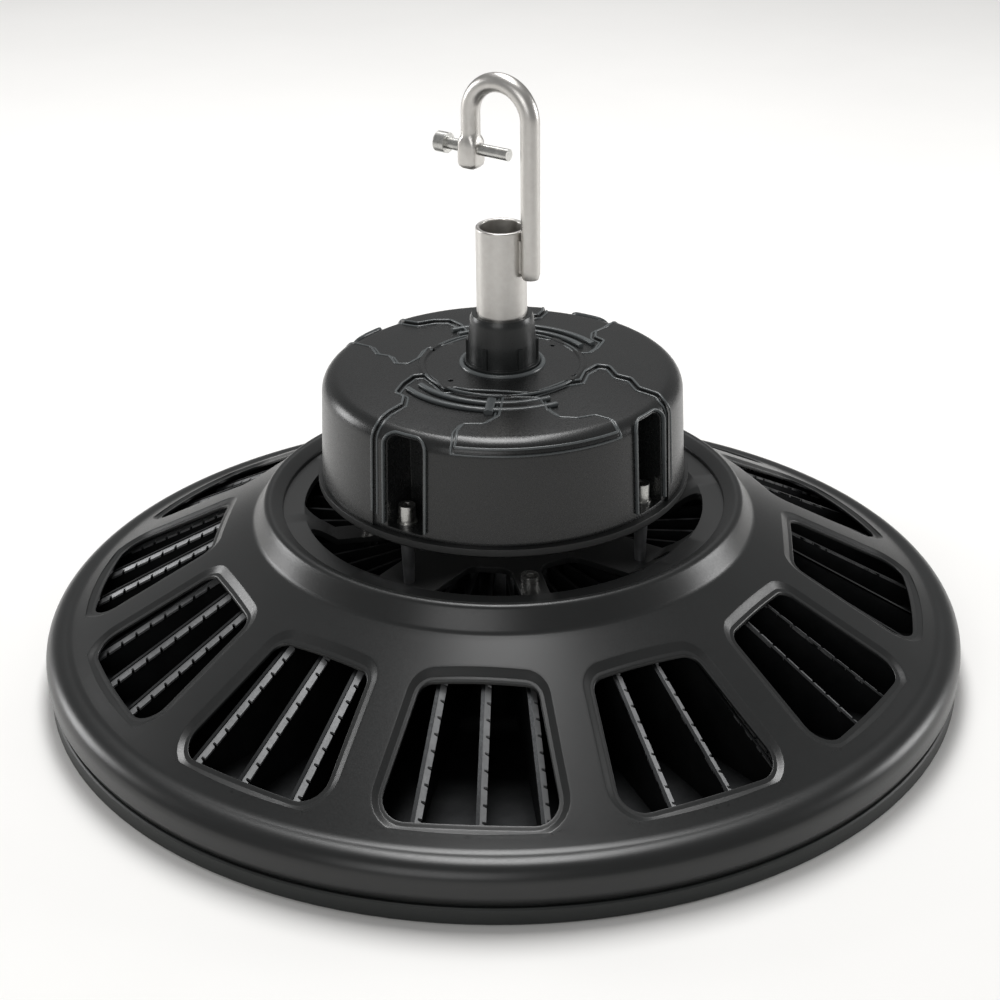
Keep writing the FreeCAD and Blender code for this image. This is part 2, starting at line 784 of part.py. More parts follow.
driver_base = body_of("driver_base")
revolve(driver_base, "base_section_turned", [
    ("lead_hole_radius", base_level),
    (f"{base_radius} - base_edge", base_level),
    (base_radius, f"{base_level} + base_edge"),
    (base_radius, base_top),
    (seal_outer, base_top),
    (seal_outer, f"{base_top} - seal_depth"),
    (seal_inner, f"{base_top} - seal_depth"),
    (seal_inner, base_top),
    ("lead_hole_radius", base_top),
])
post = pad(driver_base, "post", "XY_Plane", "post_height + 1",
           circles=[on_circle(post_circle, "driver_turn") + ("post_radius",)],
           offset=f"{base_top} - 1")
ring_of(driver_base, "posts", [post], "4")
drill(driver_base, "post_bore", post_circle, small_tap_radius,
      f"{base_top} + 1", f"{base_top} + post_height", "4", "driver_turn")
drill(driver_base, "base_screw_hole", pin_circle, tap_radius,
      f"{base_level} - 1", f"{base_top} + 1", "4", "driver_turn + 45")

seal = body_of("driver_seal")
revolve(seal, "seal_section_turned", [
    (f"{seal_inner} + running_gap", f"{base_top} - seal_depth"),
    (f"{seal_outer} - running_gap", f"{base_top} - seal_depth"),
    (f"{seal_outer} - running_gap", base_top),
    (f"{seal_inner} + running_gap", base_top),
])


def gland(label, hole_foot, hole_top, flange_foot):
    """A rubber gland: a neck through a hole of the leads and a flange on one side of it."""
    neck = cylinder(label + "_neck", "lead_hole_radius - running_gap", hole_foot, hole_top)
    flange = cylinder(label + "_flange", "lead_hole_radius + gland_flange_width", flange_foot,
                      f"{flange_foot} + gland_flange_height")
    bore = cylinder(label + "_bore", "gland_bore_radius",
                    f"{hole_foot} - 2 * gland_flange_height",
                    f"{hole_top} + 2 * gland_flange_height")
    parts[label] = cut(label, fuse(label + "_blank", neck, flange), bore)


gland("sink_gland", board_foot, f"({sink_top} + 1)", sink_top)
gland("driver_gland", base_level, f"({base_top} + 1)", base_top)


# ---------------------------------------------------------------- driver cover

ledge = f"({base_top} + pocket_ledge)"
pocket_floor = f"({can_radius} - pocket_depth)"
apron_foot = f"({base_top} + apron_height)"


def can_form(name, inset, bead=False):
    """The can as a solid, its skin drawn in by an inset; a bead runs round its crown."""
    def crown(radius):
        return (f"({shoulder_level} + crown_rise * ({top_radius} - ({radius}))"
                f" / ({top_radius} - crown_radius) - {inset})")

    top_radius = f"({can_radius} - can_taper - {inset})"
    form = doc.addObject("PartDesign::Body", name)
    bead_foot, bead_crest = "bead_radius + bead_width", "bead_radius + bead_width / 2"
    bead_inner = "bead_radius - bead_width / 2"
    revolve(form, name + "_turned", [
        ("0", base_top),
        (f"{can_radius} - {inset}", base_top),
        (top_radius, f"{shoulder_level} - {inset}", f"can_roll - {inset}"),
        *([(bead_foot, crown(bead_foot)),
           (bead_crest, f"{crown(bead_crest)} + bead_rise"),
           (bead_inner, f"{crown(bead_inner)} + bead_rise"),
           ("bead_radius - bead_width", crown("bead_radius - bead_width"))] if bead else []),
        ("crown_radius", f"{crown_level} - {inset}"),
        ("0", f"{crown_level} - {inset}"),
    ])
    return form


def raised(name, foot, corners):
    """A raised field of the cover: what its plan outline leaves of the can's outer skin."""
    block = doc.addObject("PartDesign::Body", name + "_block")
    pad(block, name + "_field", "XY_Plane", f"{crown_level} + 10 - {foot}", [corners],
        offset=foot)
    field = doc.addObject("Part::Common", name)
    field.Base = skin
    field.Tool = block
    return field


def half_turned(corners):
    """The same outline on the opposite side of the can."""
    return [(f"0 - ({x})", f"0 - ({y})") + tuple(roll) for x, y, *roll in corners]


def jigsaw(spots, roll):
    """Corners of an edge of the relief, placed as shares of the can's radius."""
    return [(f"{x} * {can_radius} / 78", f"{y} * {can_radius} / 78", roll) for x, y in spots]


# The relief is the same after half a turn. Its edges run from the left screw pocket in to
# the crown and out to the right screw pocket.
left_edge = jigsaw([(-59, -70), (-46.3, -58), (-42.5, -48.5), (-37.5, -41), (-37.5, -34),
                    (-41.5, -30), (-39.5, -21.5), (-36, -14.5), (-31, -13.5), (-26.2, -20.5),
                    (-22, -28.5), (-17.5, -27), (-12, -29)], "1.4")
right_edge = jigsaw([(14.5, -30.5), (22, -24), (27, -18.5), (34, -15), (35.5, -6), (40, 1.5),
                     (45, 1), (48.5, -7.5), (54.5, -10), (58, -18.5), (66, -23.5),
                     (71.5, -31), (96, -44)], "1.4")
far_side = jigsaw([(110, -20), (110, 30)], "0.5")
front_edge = jigsaw([(-13.5, -90), (-13.5, -64.5), (-11.5, -58.5), (-3, -58), (2, -51),
                     (2.5, -34), (18, -33.5), (22, -44), (27, -50), (34, -50),
                     (41, -46.5), (47.5, -49.5), (52, -58), (56, -80)], "1.4")

skin = can_form("can_skin", "0", bead=True)
low_form = can_form("can_low", "can_relief")
cavity = can_form("can_cavity", "(can_relief + can_wall)")
fields = [raised("side_fields", base_top,
                 left_edge + right_edge + far_side
                 + half_turned(left_edge + right_edge + far_side))]
for k, corners in enumerate([front_edge, half_turned(front_edge)]):
    fields.append(raised(f"apron_field_{k}", apron_foot, corners))


def pocket_block(name, turn, shift, border, foot, inner_end, outer_end):
    """The room of a screw pocket, widened by a border, as a block that points outwards."""
    block = doc.addObject("PartDesign::Body", name)
    half = f"(pocket_width / 2 + {border})"
    top = f"{base_top} + pocket_height + {border}"
    roll = f"pocket_roll + {border}"
    pad(block, name + "_block", "YZ_Plane", f"{outer_end} - {inner_end}", [[
        (f"{shift} - {half}", foot),
        (f"{shift} + {half}", foot),
        (f"{shift} + {half}", top, roll),
        (f"{shift} - {half}", top, roll),
    ]], offset=inner_end)
    return place(block, turn=turn)


linings, pockets, screw_holes = [], [], []
for k in range(4):
    turn = f"(driver_turn + 45 + {k} * 90)"
    shift = "(0 - pocket_shift)" if k % 2 == 0 else "(pocket_shift)"
    linings.append(pocket_block(f"pocket_lining_{k}", turn, shift, "can_wall", base_top,
                                f"({pocket_floor} - can_wall)", can_radius))
    pockets.append(pocket_block(f"pocket_room_{k}", turn, shift, "0", ledge,
                                pocket_floor, f"({can_radius} + can_wall)"))
    hole = cylinder(f"ledge_hole_{k}", tap_radius, f"{base_top} - 1", f"{ledge} + 1")
    x, y = on_circle(pin_circle, turn)
    screw_holes.append(place(hole, x=x, y=y, z=f"{base_top} - 1"))
dimples = []
for k, (x, y) in enumerate([(-20, -20), (31, -12), (20, 20), (-31, 12)]):
    dimple = cylinder(f"dimple_{k}", "dimple_radius", "0", "crown_rise + can_relief")
    dimples.append(place(dimple, x=f"{x} * {can_radius} / 78", y=f"{y} * {can_radius} / 78",
                         z=f"{crown_level} - can_relief - dimple_depth"))
hollow = cut("can_hollow", cavity, *linings)
tube_hole = cylinder("tube_hole", "tube_radius + running_gap", base_top, f"{crown_level} + 1")
parts["driver_cover"] = cut("driver_cover", fuse("can_raised", low_form, *fields),
                            hollow, *pockets, *screw_holes, *dimples, tube_hole)

cover_screw_seat = f"({ledge} + washer_thickness)"
cover_screw_top = f"({cover_screw_seat} + cap_head_height)"
cover_screw = screw("cover_screw",
                    ("cap_head_radius", cover_screw_seat, cover_screw_top),
                    ("screw_radius", f"{base_level} - pin_bore_depth + 1",
                     f"{cover_screw_seat} + 0.5"),
                    ("key_radius", f"{cover_screw_top} - 2 * key_depth", cover_screw_top))
group_of("cover_screws", cover_screw, around(pin_circle, "4", "driver_turn + 45"))
washer = cut("washer_master",
             cylinder("washer_disc", "washer_radius", ledge, cover_screw_seat),
             cylinder("washer_hole", tap_radius, ledge, cover_screw_seat))
group_of("cover_washers", washer, around(pin_circle, "4", "driver_turn + 45"))


# ---------------------------------------------------------------- inside the driver

card_foot = f"({base_top} + post_height)"
card_top = f"({card_foot} + board_thickness)"
card_radius = f"({post_circle} + card_margin)"

card = body_of("driver_board")
pad(card, "card_disc", "XY_Plane", "board_thickness",
    circles=[("0", "0", card_radius)], offset=card_foot)
drill(card, "card_hole", post_circle, small_tap_radius,
      f"{card_foot} - 1", f"{card_top} + 1", "4", "driver_turn")

card_screw = screw("card_screw",
                   ("small_head_radius", card_top, f"{card_top} + small_head_height"),
                   ("small_screw_radius", f"{base_top} + 2", f"{card_top} + 0.5"),
                   ("key_radius", f"{card_top} + small_head_height / 2",
                    f"{card_top} + small_head_height"))
group_of("driver_board_screws", card_screw, around(post_circle, "4", "driver_turn"))

core = box("transformer_core", "core_length", "core_width", "core_height",
           x="0 - component_shift", z=f"{card_top} + (coil_height - core_height) / 2")
coil = box("transformer_coil", "core_length", "core_width - 2 * coil_step", "coil_height",
           x="0 - component_shift", z=card_top)
parts["transformer"] = fuse("transformer", core, coil)

choke_top = f"{card_top} + choke_height"
choke_rings = [cylinder("choke_ring", "choke_radius", card_top, choke_top),
               cylinder("choke_hole", "choke_bore_radius", card_top, choke_top)]
for item in choke_rings:
    place(item, x="component_shift - choke_radius / 2", y="choke_radius + 2", z=card_top)
parts["choke"] = cut("choke", *choke_rings)

# The capacitors stand in an arc, just clear of each other.
capacitor = cylinder("capacitor", "capacitor_radius", card_top, f"{card_top} + capacitor_height")
capacitor_pitch = value("2 * asin((capacitor_radius + fit_gap) / component_shift)")
group_of("capacitors", capacitor,
         [(value("component_shift"), -capacitor_pitch * (k + 0.3))
          for k in range(round(value("capacitor_count")))])


# ---------------------------------------------------------------- hanger

tube = body_of("hanger_tube")
revolve(tube, "tube_section_turned", [
    ("tube_bore_radius", tube_foot),
    ("tube_radius", tube_foot),
    ("tube_radius", tube_top, "tube_edge"),
    ("tube_bore_radius", tube_top, "tube_edge"),
])

hexagon = doc.addObject("Part::Prism", "nut_hexagon")
bind(hexagon, Circumradius="tube_radius + nut_width", Height="nut_height")
place(hexagon, z=f"{crown_under} - nut_height")
nut_hole = cylinder("nut_hole", "tube_radius + running_gap",
                    f"{crown_under} - nut_height", crown_under)
parts["lock_nut"] = cut("lock_nut", hexagon, nut_hole)

collar_radius = "(tube_radius + collar_wall)"
collar_neck_level = f"({crown_level} + collar_body_height + collar_taper_height)"

collar = body_of("collar")
revolve(collar, "collar_section_turned", [
    ("tube_radius + running_gap", crown_level),
    (f"{collar_radius} + collar_foot_width", crown_level),
    (f"{collar_radius} + collar_foot_width", f"{crown_level} + collar_foot_height"),
    (collar_radius, f"{crown_level} + collar_foot_height"),
    (collar_radius, f"{crown_level} + collar_body_height"),
    (f"{collar_radius} - collar_taper", collar_neck_level),
    (f"{collar_radius} - collar_taper - collar_edge", f"{collar_neck_level} + collar_edge_height"),
    ("tube_radius + running_gap", f"{collar_neck_level} + collar_edge_height"),
])
rib = pad(collar, "collar_rib", "XY_Plane", "collar_rib_height", [turned([
    (f"{collar_radius} - collar_rib_width", "0 - collar_rib_width / 2"),
    (f"{collar_radius} + collar_rib_rise", "0 - collar_rib_width / 2"),
    (f"{collar_radius} + collar_rib_rise", "collar_rib_width / 2"),
    (f"{collar_radius} - collar_rib_width", "collar_rib_width / 2"),
], "collar_turn")], offset=f"{crown_level} + collar_foot_height")
ring_of(collar, "collar_ribs", [rib], "collar_rib_count")


# ---------------------------------------------------------------- hook

# The hook stands in the XZ plane, its long leg on +X against the tube, and is then turned.
weld_skin = "(tube_radius + running_gap)"
rod_offset = f"({weld_skin} + rod_radius)"
lug_foot = f"({bend_level} - lug_drop)"
screw_level = f"({bend_level} - hook_screw_drop)"

hook = body_of("hook")
rod_section = sketch(hook, "rod_section", "XY_Plane",
                     circles=[(rod_offset, "0", "rod_radius")], offset=rod_foot)
rod_path = hook.newObject("Sketcher::SketchObject", "rod_path")
rod_path.AttachmentSupport = ([item for item in hook.Origin.OriginFeatures
                               if item.Role == "XZ_Plane"][0], [""])
rod_path.MapMode = "FlatFace"
leg, foot, bend = value(rod_offset), value(rod_foot), value(bend_level)
rod_path.addGeometry(Part.LineSegment(FreeCAD.Vector(leg, foot, 0),
                                      FreeCAD.Vector(leg, bend, 0)))
rod_path.addGeometry(Part.Arc(FreeCAD.Vector(leg, bend, 0), FreeCAD.Vector(0, bend + leg, 0),
                              FreeCAD.Vector(-leg, bend, 0)))
rod_path.addGeometry(Part.LineSegment(FreeCAD.Vector(-leg, bend, 0),
                                      FreeCAD.Vector(-leg, value(lug_foot) + 1, 0)))
for kind, where, formula in (
        ("DistanceX", (-1, 1, 0, 1), rod_offset),
        ("DistanceY", (-1, 1, 0, 1), rod_foot),
        ("DistanceX", (-1, 1, 0, 2), rod_offset),
        ("DistanceY", (-1, 1, 0, 2), bend_level),
        ("DistanceX", (-1, 1, 2, 1), f"0 - {rod_offset}"),
        ("DistanceY", (-1, 1, 2, 1), bend_level),
        ("DistanceX", (-1, 1, 2, 2), f"0 - {rod_offset}"),
        ("DistanceY", (-1, 1, 2, 2), f"{lug_foot} + 1"),
        ("DistanceY", (-1, 1, 1, 3), bend_level)):
    index = rod_path.addConstraint(Sketcher.Constraint(kind, *where, value(formula)))
    rod_path.setExpression(f"Constraints[{index}]", bound(formula))
rod_path.addConstraint(Sketcher.Constraint("Coincident", 0, 2, 1, 1))
rod_path.addConstraint(Sketcher.Constraint("Coincident", 1, 2, 2, 1))
doc.recompute()
rod = hook.newObject("PartDesign::AdditivePipe", "rod")
rod.Profile = rod_section
rod.Spine = (rod_path, ["Edge1", "Edge2", "Edge3"])
doc.recompute()
pad(hook, "lug", "XY_Plane", "lug_height", [[
    (f"0 - {rod_offset} - lug_width / 2", "0 - lug_width / 2", "lug_roll"),
    (f"0 - {rod_offset} + lug_width / 2", "0 - lug_width / 2", "lug_roll"),
    (f"0 - {rod_offset} + lug_width / 2", "lug_width / 2", "lug_roll"),
    (f"0 - {rod_offset} - lug_width / 2", "lug_width / 2", "lug_roll"),
]], offset=lug_foot)
weld_root = f"sqrt({weld_skin} * {weld_skin} - weld_reach * weld_reach)"
pad(hook, "weld", "XY_Plane", "rod_overlap - weld_foot_gap - weld_top_gap", [[
    (weld_root, "0 - weld_reach"),
    (f"{rod_offset} - rod_radius / 4", "0 - rod_radius * 0.95"),
    (f"{rod_offset} - rod_radius / 4", "rod_radius * 0.95"),
    (weld_root, "weld_reach", "0", f"0 - {weld_skin}"),
]], offset=f"{rod_foot} + weld_foot_gap")
lug_hole = hook.newObject("PartDesign::Pocket", "lug_hole")
lug_hole.Profile = sketch(hook, "lug_hole_plan", "YZ_Plane",
                          circles=[("0", screw_level, "hook_screw_radius + running_gap")])
bind(lug_hole, Length=f"{rod_offset} + lug_width")
doc.recompute()
place(hook, turn="hook_turn")


def lying(name, kind, radius, start, end):
    """A round or six-sided bar along +X at the hook screw's level."""
    bar = doc.addObject("Part::" + kind, name)
    bind(bar, Height=f"({end}) - ({start})")
    bar.setExpression("Radius" if kind == "Cylinder" else "Circumradius", bound(radius))
    bar.Placement = FreeCAD.Placement(FreeCAD.Vector(0, 0, 0),
                                      FreeCAD.Rotation(FreeCAD.Vector(0, 1, 0), 90))
    bar.setExpression("Placement.Base.x", bound(start))
    bar.setExpression("Placement.Base.z", bound(screw_level))
    return bar


head_seat = "(hook_screw_reach - hook_screw_length)"
head_end = f"({head_seat} - hook_head_height)"
hook_screw = cut("hook_screw",
                 fuse("hook_screw_blank",
                      lying("hook_screw_head", "Cylinder", "hook_head_radius", head_end, head_seat),
                      lying("hook_screw_shank", "Cylinder", "hook_screw_radius",
                            f"{head_seat} - 0.5", "hook_screw_reach")),
                 lying("hook_screw_socket", "Prism", "hook_head_radius / 2",
                       head_end, f"{head_end} + hook_head_height / 2"))
parts["hook_screw"] = place(hook_screw, turn="hook_turn")


# ---------------------------------------------------------------- write the parts

doc.recompute()
os.makedirs("parts", exist_ok=True)
broken = [item.Name for item in doc.Objects if {"Invalid", "Error"} & set(item.State)]
for label, part in parts.items():
    part.Label = label
    if part.Shape.isNull() or not part.Shape.isValid():
        broken.append(label)
if broken:
    raise RuntimeError("these objects failed: " + ", ".join(broken))
for label, part in parts.items():
    part.Shape.exportStep(f"parts/{label}.step")
    print(label, len(part.Shape.Solids), round(part.Shape.Volume))
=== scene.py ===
import bpy
import numpy as np
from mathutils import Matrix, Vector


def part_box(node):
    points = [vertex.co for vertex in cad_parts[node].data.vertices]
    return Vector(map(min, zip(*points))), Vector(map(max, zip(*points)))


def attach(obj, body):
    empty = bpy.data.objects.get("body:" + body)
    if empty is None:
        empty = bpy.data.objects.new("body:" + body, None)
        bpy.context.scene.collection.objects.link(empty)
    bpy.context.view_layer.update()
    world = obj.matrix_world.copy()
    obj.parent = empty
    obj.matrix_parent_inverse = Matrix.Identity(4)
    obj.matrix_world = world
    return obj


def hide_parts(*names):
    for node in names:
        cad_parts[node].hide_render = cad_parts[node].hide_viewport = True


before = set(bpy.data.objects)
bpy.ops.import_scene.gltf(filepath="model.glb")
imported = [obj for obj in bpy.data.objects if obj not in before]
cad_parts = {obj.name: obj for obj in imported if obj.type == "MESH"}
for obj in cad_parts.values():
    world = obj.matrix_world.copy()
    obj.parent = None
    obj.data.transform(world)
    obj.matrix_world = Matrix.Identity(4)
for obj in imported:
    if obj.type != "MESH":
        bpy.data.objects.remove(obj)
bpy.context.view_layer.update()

# ---------------------------------------------------------------- bottom ring
# Cast aluminium ring that holds the lens and the heat sink up into the shell. It is
# coated like the shell, and its plain outer wall is the dark band at the light's foot.


def node(tree, kind, links=(), **values):
    """Adds one shader node. values are its properties and inputs; links are (input, socket)."""
    item = tree.nodes.new("ShaderNode" + kind)
    for name, value in values.items():
        if hasattr(item, name):
            setattr(item, name, value)
        else:
            item.inputs[name.replace("_", " ")].default_value = value
    for name, socket in links:
        tree.links.new(socket, item.inputs[name])
    return item


def linear(hex_colour, alpha=1.0):
    """An sRGB colour, such as "2e2f30", as linear light."""
    levels = np.array([int(hex_colour[i:i + 2], 16) / 255 for i in (0, 2, 4)])
    levels = np.where(levels <= 0.04045, levels / 12.92, ((levels + 0.055) / 1.055) ** 2.4)
    return (*levels, alpha)


def finish(name, **values):
    """A material with one Principled shader. Returns it, its node tree and the shader."""
    material = bpy.data.materials.new(name)
    material.use_nodes = True
    tree = material.node_tree
    shader = tree.nodes["Principled BSDF"]
    for socket, value in values.items():
        shader.inputs[socket.replace("_", " ")].default_value = value
    return material, tree, shader


def patches(tree, size_mm, low, high, detail=4.0, stretch=(1, 1, 1)):
    """Soft noise in object space: patches of that size in mm, as levels from low to high."""
    place = node(tree, "TexCoord")
    scaled = node(tree, "Mapping", [("Vector", place.outputs["Object"])], Scale=stretch)
    noise = node(tree, "TexNoise", [("Vector", scaled.outputs["Vector"])],
                 Scale=1000 / size_mm, Detail=detail, Roughness=0.6)
    levels = node(tree, "MapRange", [("Value", noise.outputs["Fac"])],
                  From_Min=0.3, From_Max=0.7, To_Min=low, To_Max=high)
    return noise.outputs["Fac"], levels.outputs["Result"]


def coloured(tree, shader, factor, first, second):
    """Base colour that runs from the first to the second colour as the factor goes 0 to 1."""
    mix = node(tree, "Mix", [("Factor", factor)], data_type="RGBA")
    mix.inputs["A"].default_value = linear(first)
    mix.inputs["B"].default_value = linear(second)
    tree.links.new(mix.outputs["Result"], shader.inputs["Base Color"])


def powder_coat(name, first, second, roughness, grain_mm=0.7, depth_mm=0.012, edge_mm=0.0):
    """Baked powder coat: a fine orange peel that spreads highlights, and soft corners."""
    material, tree, shader = finish(name, IOR=1.5, Specular_IOR_Level=0.5)
    _, shade = patches(tree, 60, 0.0, 1.0)
    coloured(tree, shader, shade, first, second)
    peel, gloss = patches(tree, grain_mm, roughness - 0.04, roughness + 0.05)
    tree.links.new(gloss, shader.inputs["Roughness"])
    bump = node(tree, "Bump", [("Height", peel)], Strength=0.35, Distance=depth_mm / 1000)
    if edge_mm:
        edge = node(tree, "Bevel", Radius=edge_mm / 1000)
        edge.samples = 4
        tree.links.new(edge.outputs["Normal"], bump.inputs["Normal"])
    tree.links.new(bump.outputs["Normal"], shader.inputs["Normal"])
    return material


def mesh_object(name, points, faces, material, smooth_deg=35.0):
    """A mesh object at the origin from arrays of points and faces, smooth up to an angle.

    A corner that a face has twice, as at a pole, is used once.
    """
    mesh = bpy.data.meshes.new(name)
    whole = [list(dict.fromkeys(face)) for face in faces.tolist()]
    mesh.from_pydata(points.tolist(), [], [face for face in whole if len(face) > 2])
    mesh.shade_smooth()
    mesh.set_sharp_from_angle(angle=np.radians(smooth_deg))
    mesh.materials.append(material)
    piece = bpy.data.objects.new(name, mesh)
    bpy.context.scene.collection.objects.link(piece)
    return piece


def joined(source):
    """Points and triangles of a CAD node, with the corners that triangles share made one."""
    mesh = source.data
    points = np.empty(len(mesh.vertices) * 3)
    mesh.vertices.foreach_get("co", points)
    mesh.calc_loop_triangles()
    corners = np.empty(len(mesh.loop_triangles) * 3, dtype=np.int32)
    mesh.loop_triangles.foreach_get("vertices", corners)
    spots, place = np.unique(np.round(points.reshape(-1, 3), 6), axis=0, return_inverse=True)
    faces = place.reshape(-1)[corners].reshape(-1, 3)
    whole = ((faces[:, 0] != faces[:, 1]) & (faces[:, 1] != faces[:, 2])
             & (faces[:, 2] != faces[:, 0]))
    return spots, faces[whole]


def dressed(label, material, smooth_deg=35.0):
    """Lets a copy of a CAD node, with its corners joined, stand for the node."""
    piece = mesh_object(label + "_finished", *joined(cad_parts[label]), material,
                        smooth_deg)
    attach(piece, "root")
    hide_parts(label)
    return piece


ring_coat = powder_coat("powder_coat_ring", "151817", "1b1e1d", 0.5)
dressed("trim_ring", ring_coat)

# ---------------------------------------------------------------- small steel screws
# Zinc-plated machine screws and washers. The plating is bright with a faint mottle,
# and the turned heads carry fine rings that blur what they reflect.


def plated_steel(name, first, second, roughness, edge_mm=0.25):
    """Bright plating on steel: metal with a fine mottle in colour and gloss."""
    material, tree, shader = finish(name, Metallic=1.0)
    _, shade = patches(tree, 3, 0.0, 1.0)
    coloured(tree, shader, shade, first, second)
    mottle, gloss = patches(tree, 0.6, roughness - 0.06, roughness + 0.08)
    tree.links.new(gloss, shader.inputs["Roughness"])
    edge = node(tree, "Bevel", Radius=edge_mm / 1000)
    edge.samples = 4
    bump = node(tree, "Bump", [("Height", mottle), ("Normal", edge.outputs["Normal"])],
                Strength=0.2, Distance=0.00001)
    tree.links.new(bump.outputs["Normal"], shader.inputs["Normal"])
    return material


zinc = plated_steel("zinc_plate", "b4b4b1", "d2d1cd", 0.3)
for label in ("ring_screws", "board_screws", "hub_screws", "cover_screws", "cover_washers",
              "driver_board_screws", "lock_nut"):
    dressed(label, zinc)

# ---------------------------------------------------------------- lens and its gasket
# Moulded clear polycarbonate disc whose rings spread the light, seated on a silicone
# gasket. The moulded faces are glossy, with a slight milkiness in the thickness.

clear_lens, tree, shader = finish("clear_polycarbonate", IOR=1.586, Roughness=0.08,
                                  Transmission_Weight=1.0)
shader.inputs["Base Color"].default_value = linear("eef1f2")
ripple, _ = patches(tree, 9, 0.0, 1.0, detail=2.0)
bump = node(tree, "Bump", [("Height", ripple)], Strength=0.15, Distance=0.0002)
tree.links.new(bump.outputs["Normal"], shader.inputs["Normal"])
dressed("lens", clear_lens)


def moulded_rubber(name, first, second):
    """Moulded silicone or rubber, or cloth tape: matt, dusty, with a soft uneven shade."""
    material, tree, shader = finish(name, IOR=1.45)
    grain, shade = patches(tree, 2, 0.0, 1.0)
    coloured(tree, shader, shade, first, second)
    _, gloss = patches(tree, 4, 0.6, 0.8)
    tree.links.new(gloss, shader.inputs["Roughness"])
    bump = node(tree, "Bump", [("Height", grain)], Strength=0.2, Distance=0.00003)
    tree.links.new(bump.outputs["Normal"], shader.inputs["Normal"])
    return material


grey_silicone = moulded_rubber("grey_silicone", "83837f", "92928d")
dressed("lens_gasket", grey_silicone)
dressed("driver_seal", grey_silicone)

# ---------------------------------------------------------------- light board
# Aluminium-core board with white solder resist and 96 surface-mounted diodes, whose
# yellow phosphor shows under clear resin.


def solder_resist(name, first, second, grain_mm):
    """Solder resist, or a shrunk sleeve: an even, slightly glossy film with faint streaks."""
    material, tree, shader = finish(name, IOR=1.5)
    _, shade = patches(tree, grain_mm, 0.0, 1.0, stretch=(1, 4, 1))
    coloured(tree, shader, shade, first, second)
    _, gloss = patches(tree, grain_mm / 4, 0.28, 0.4)
    tree.links.new(gloss, shader.inputs["Roughness"])
    return material


dressed("led_board", solder_resist("white_solder_resist", "e6e6e2", "eeeeea", 8))
phosphor, tree, shader = finish("phosphor_resin", IOR=1.41, Coat_Weight=0.6,
                                Subsurface_Weight=0.2, Subsurface_Scale=0.001)
_, shade = patches(tree, 1, 0.0, 1.0)
coloured(tree, shader, shade, "d9b840", "efd25a")
dressed("leds", phosphor)

# ---------------------------------------------------------------- heat sink
# Extruded-and-pressed aluminium fins in a star on a cast base, anodised and coloured near black as
# painted shade. Each fin's top is folded over, and the fold's edge is nicked by the press every
# few millimetres.

SLOPE = np.radians(29.2)
WALL_MM, RIM_TOP_MM = 2.5, 26.4
RIM_FLAT_MM = 10.7
rim_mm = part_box("shell")[1][0] * 1000
cone_foot_mm = rim_mm - RIM_FLAT_MM


def cone_level(r_mm, depth_mm=0.0):
    """Height of the shell's straight cone at a radius, at a depth below its skin."""
    return RIM_TOP_MM + (cone_foot_mm - r_mm) * np.tan(SLOPE) - depth_mm / np.cos(SLOPE)


def grid_faces(rows, columns, closed_rows=False, closed_columns=False):
    """Four-cornered faces of a grid of points stored row by row, wrapped round where closed."""
    row = np.arange(rows if closed_rows else rows - 1)[:, None]
    column = np.arange(columns if closed_columns else columns - 1)[None, :]
    next_row, next_column = (row + 1) % rows, (column + 1) % columns
    corners = [row * columns + column, row * columns + next_column,
               next_row * columns + next_column, next_row * columns + column]
    return np.stack(corners, -1).reshape(-1, 4)


def merged(*grids):
    """One mesh from (points, faces) pairs in mm, in metres, with shared points made one."""
    starts = np.cumsum([0] + [len(points) for points, _ in grids])
    points = np.concatenate([points for points, _ in grids]) / 1000
    faces = np.concatenate([faces + start for (_, faces), start in zip(grids, starts)])
    spots, place = np.unique(np.round(points, 6), axis=0, return_inverse=True)
    return spots, place.reshape(-1)[faces]


def turned(r, z, angles):
    """A closed profile carried round the axis: x = r cos a, y = r sin a."""
    r, z = np.reshape(r, (-1, 1)), np.reshape(z, (-1, 1))
    points = np.stack([r * np.cos(angles), r * np.sin(angles), z + 0 * angles], -1)
    return points.reshape(-1, 3), grid_faces(len(r), len(angles), True, True)


def bars(sections, count, start_deg=0.0):
    """Bars of four-cornered sections (rows x 4 x 3), with ends, repeated round the axis."""
    rows = len(sections)
    angle = np.radians(start_deg + np.arange(count)[:, None, None] * 360 / count)
    x, y, z = np.moveaxis(np.asarray(sections, float), -1, 0)[:, None]
    points = np.stack([x * np.cos(angle) - y * np.sin(angle),
                       x * np.sin(angle) + y * np.cos(angle), z + 0 * angle], -1)
    ends = np.array([[3, 2, 1, 0], np.arange(4) + 4 * (rows - 1)])
    faces = np.concatenate([grid_faces(rows, 4, closed_columns=True), ends])
    faces = faces + np.arange(count)[:, None, None] * 4 * rows
    return points.reshape(-1, 3), faces.reshape(-1, 4)


def own_piece(name, grids, material, nodes=(), smooth_deg=35.0):
    """A mesh piece from grids in mm that rides on the light and may stand for CAD nodes."""
    piece = mesh_object(name, *merged(*grids), material, smooth_deg)
    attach(piece, "root")
    if nodes:
        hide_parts(*nodes)
    return piece


def anodised(name, first, second, roughness):
    """Metal under a thin tinted film, with drawing marks: dark anodising, or wire enamel."""
    material, tree, shader = finish(name, Metallic=0.85)
    _, shade = patches(tree, 12, 0.0, 1.0)
    coloured(tree, shader, shade, first, second)
    marks, gloss = patches(tree, 0.8, roughness - 0.05, roughness + 0.1)
    tree.links.new(gloss, shader.inputs["Roughness"])
    bump = node(tree, "Bump", [("Height", marks)], Strength=0.25, Distance=0.00002)
    tree.links.new(bump.outputs["Normal"], shader.inputs["Normal"])
    return material


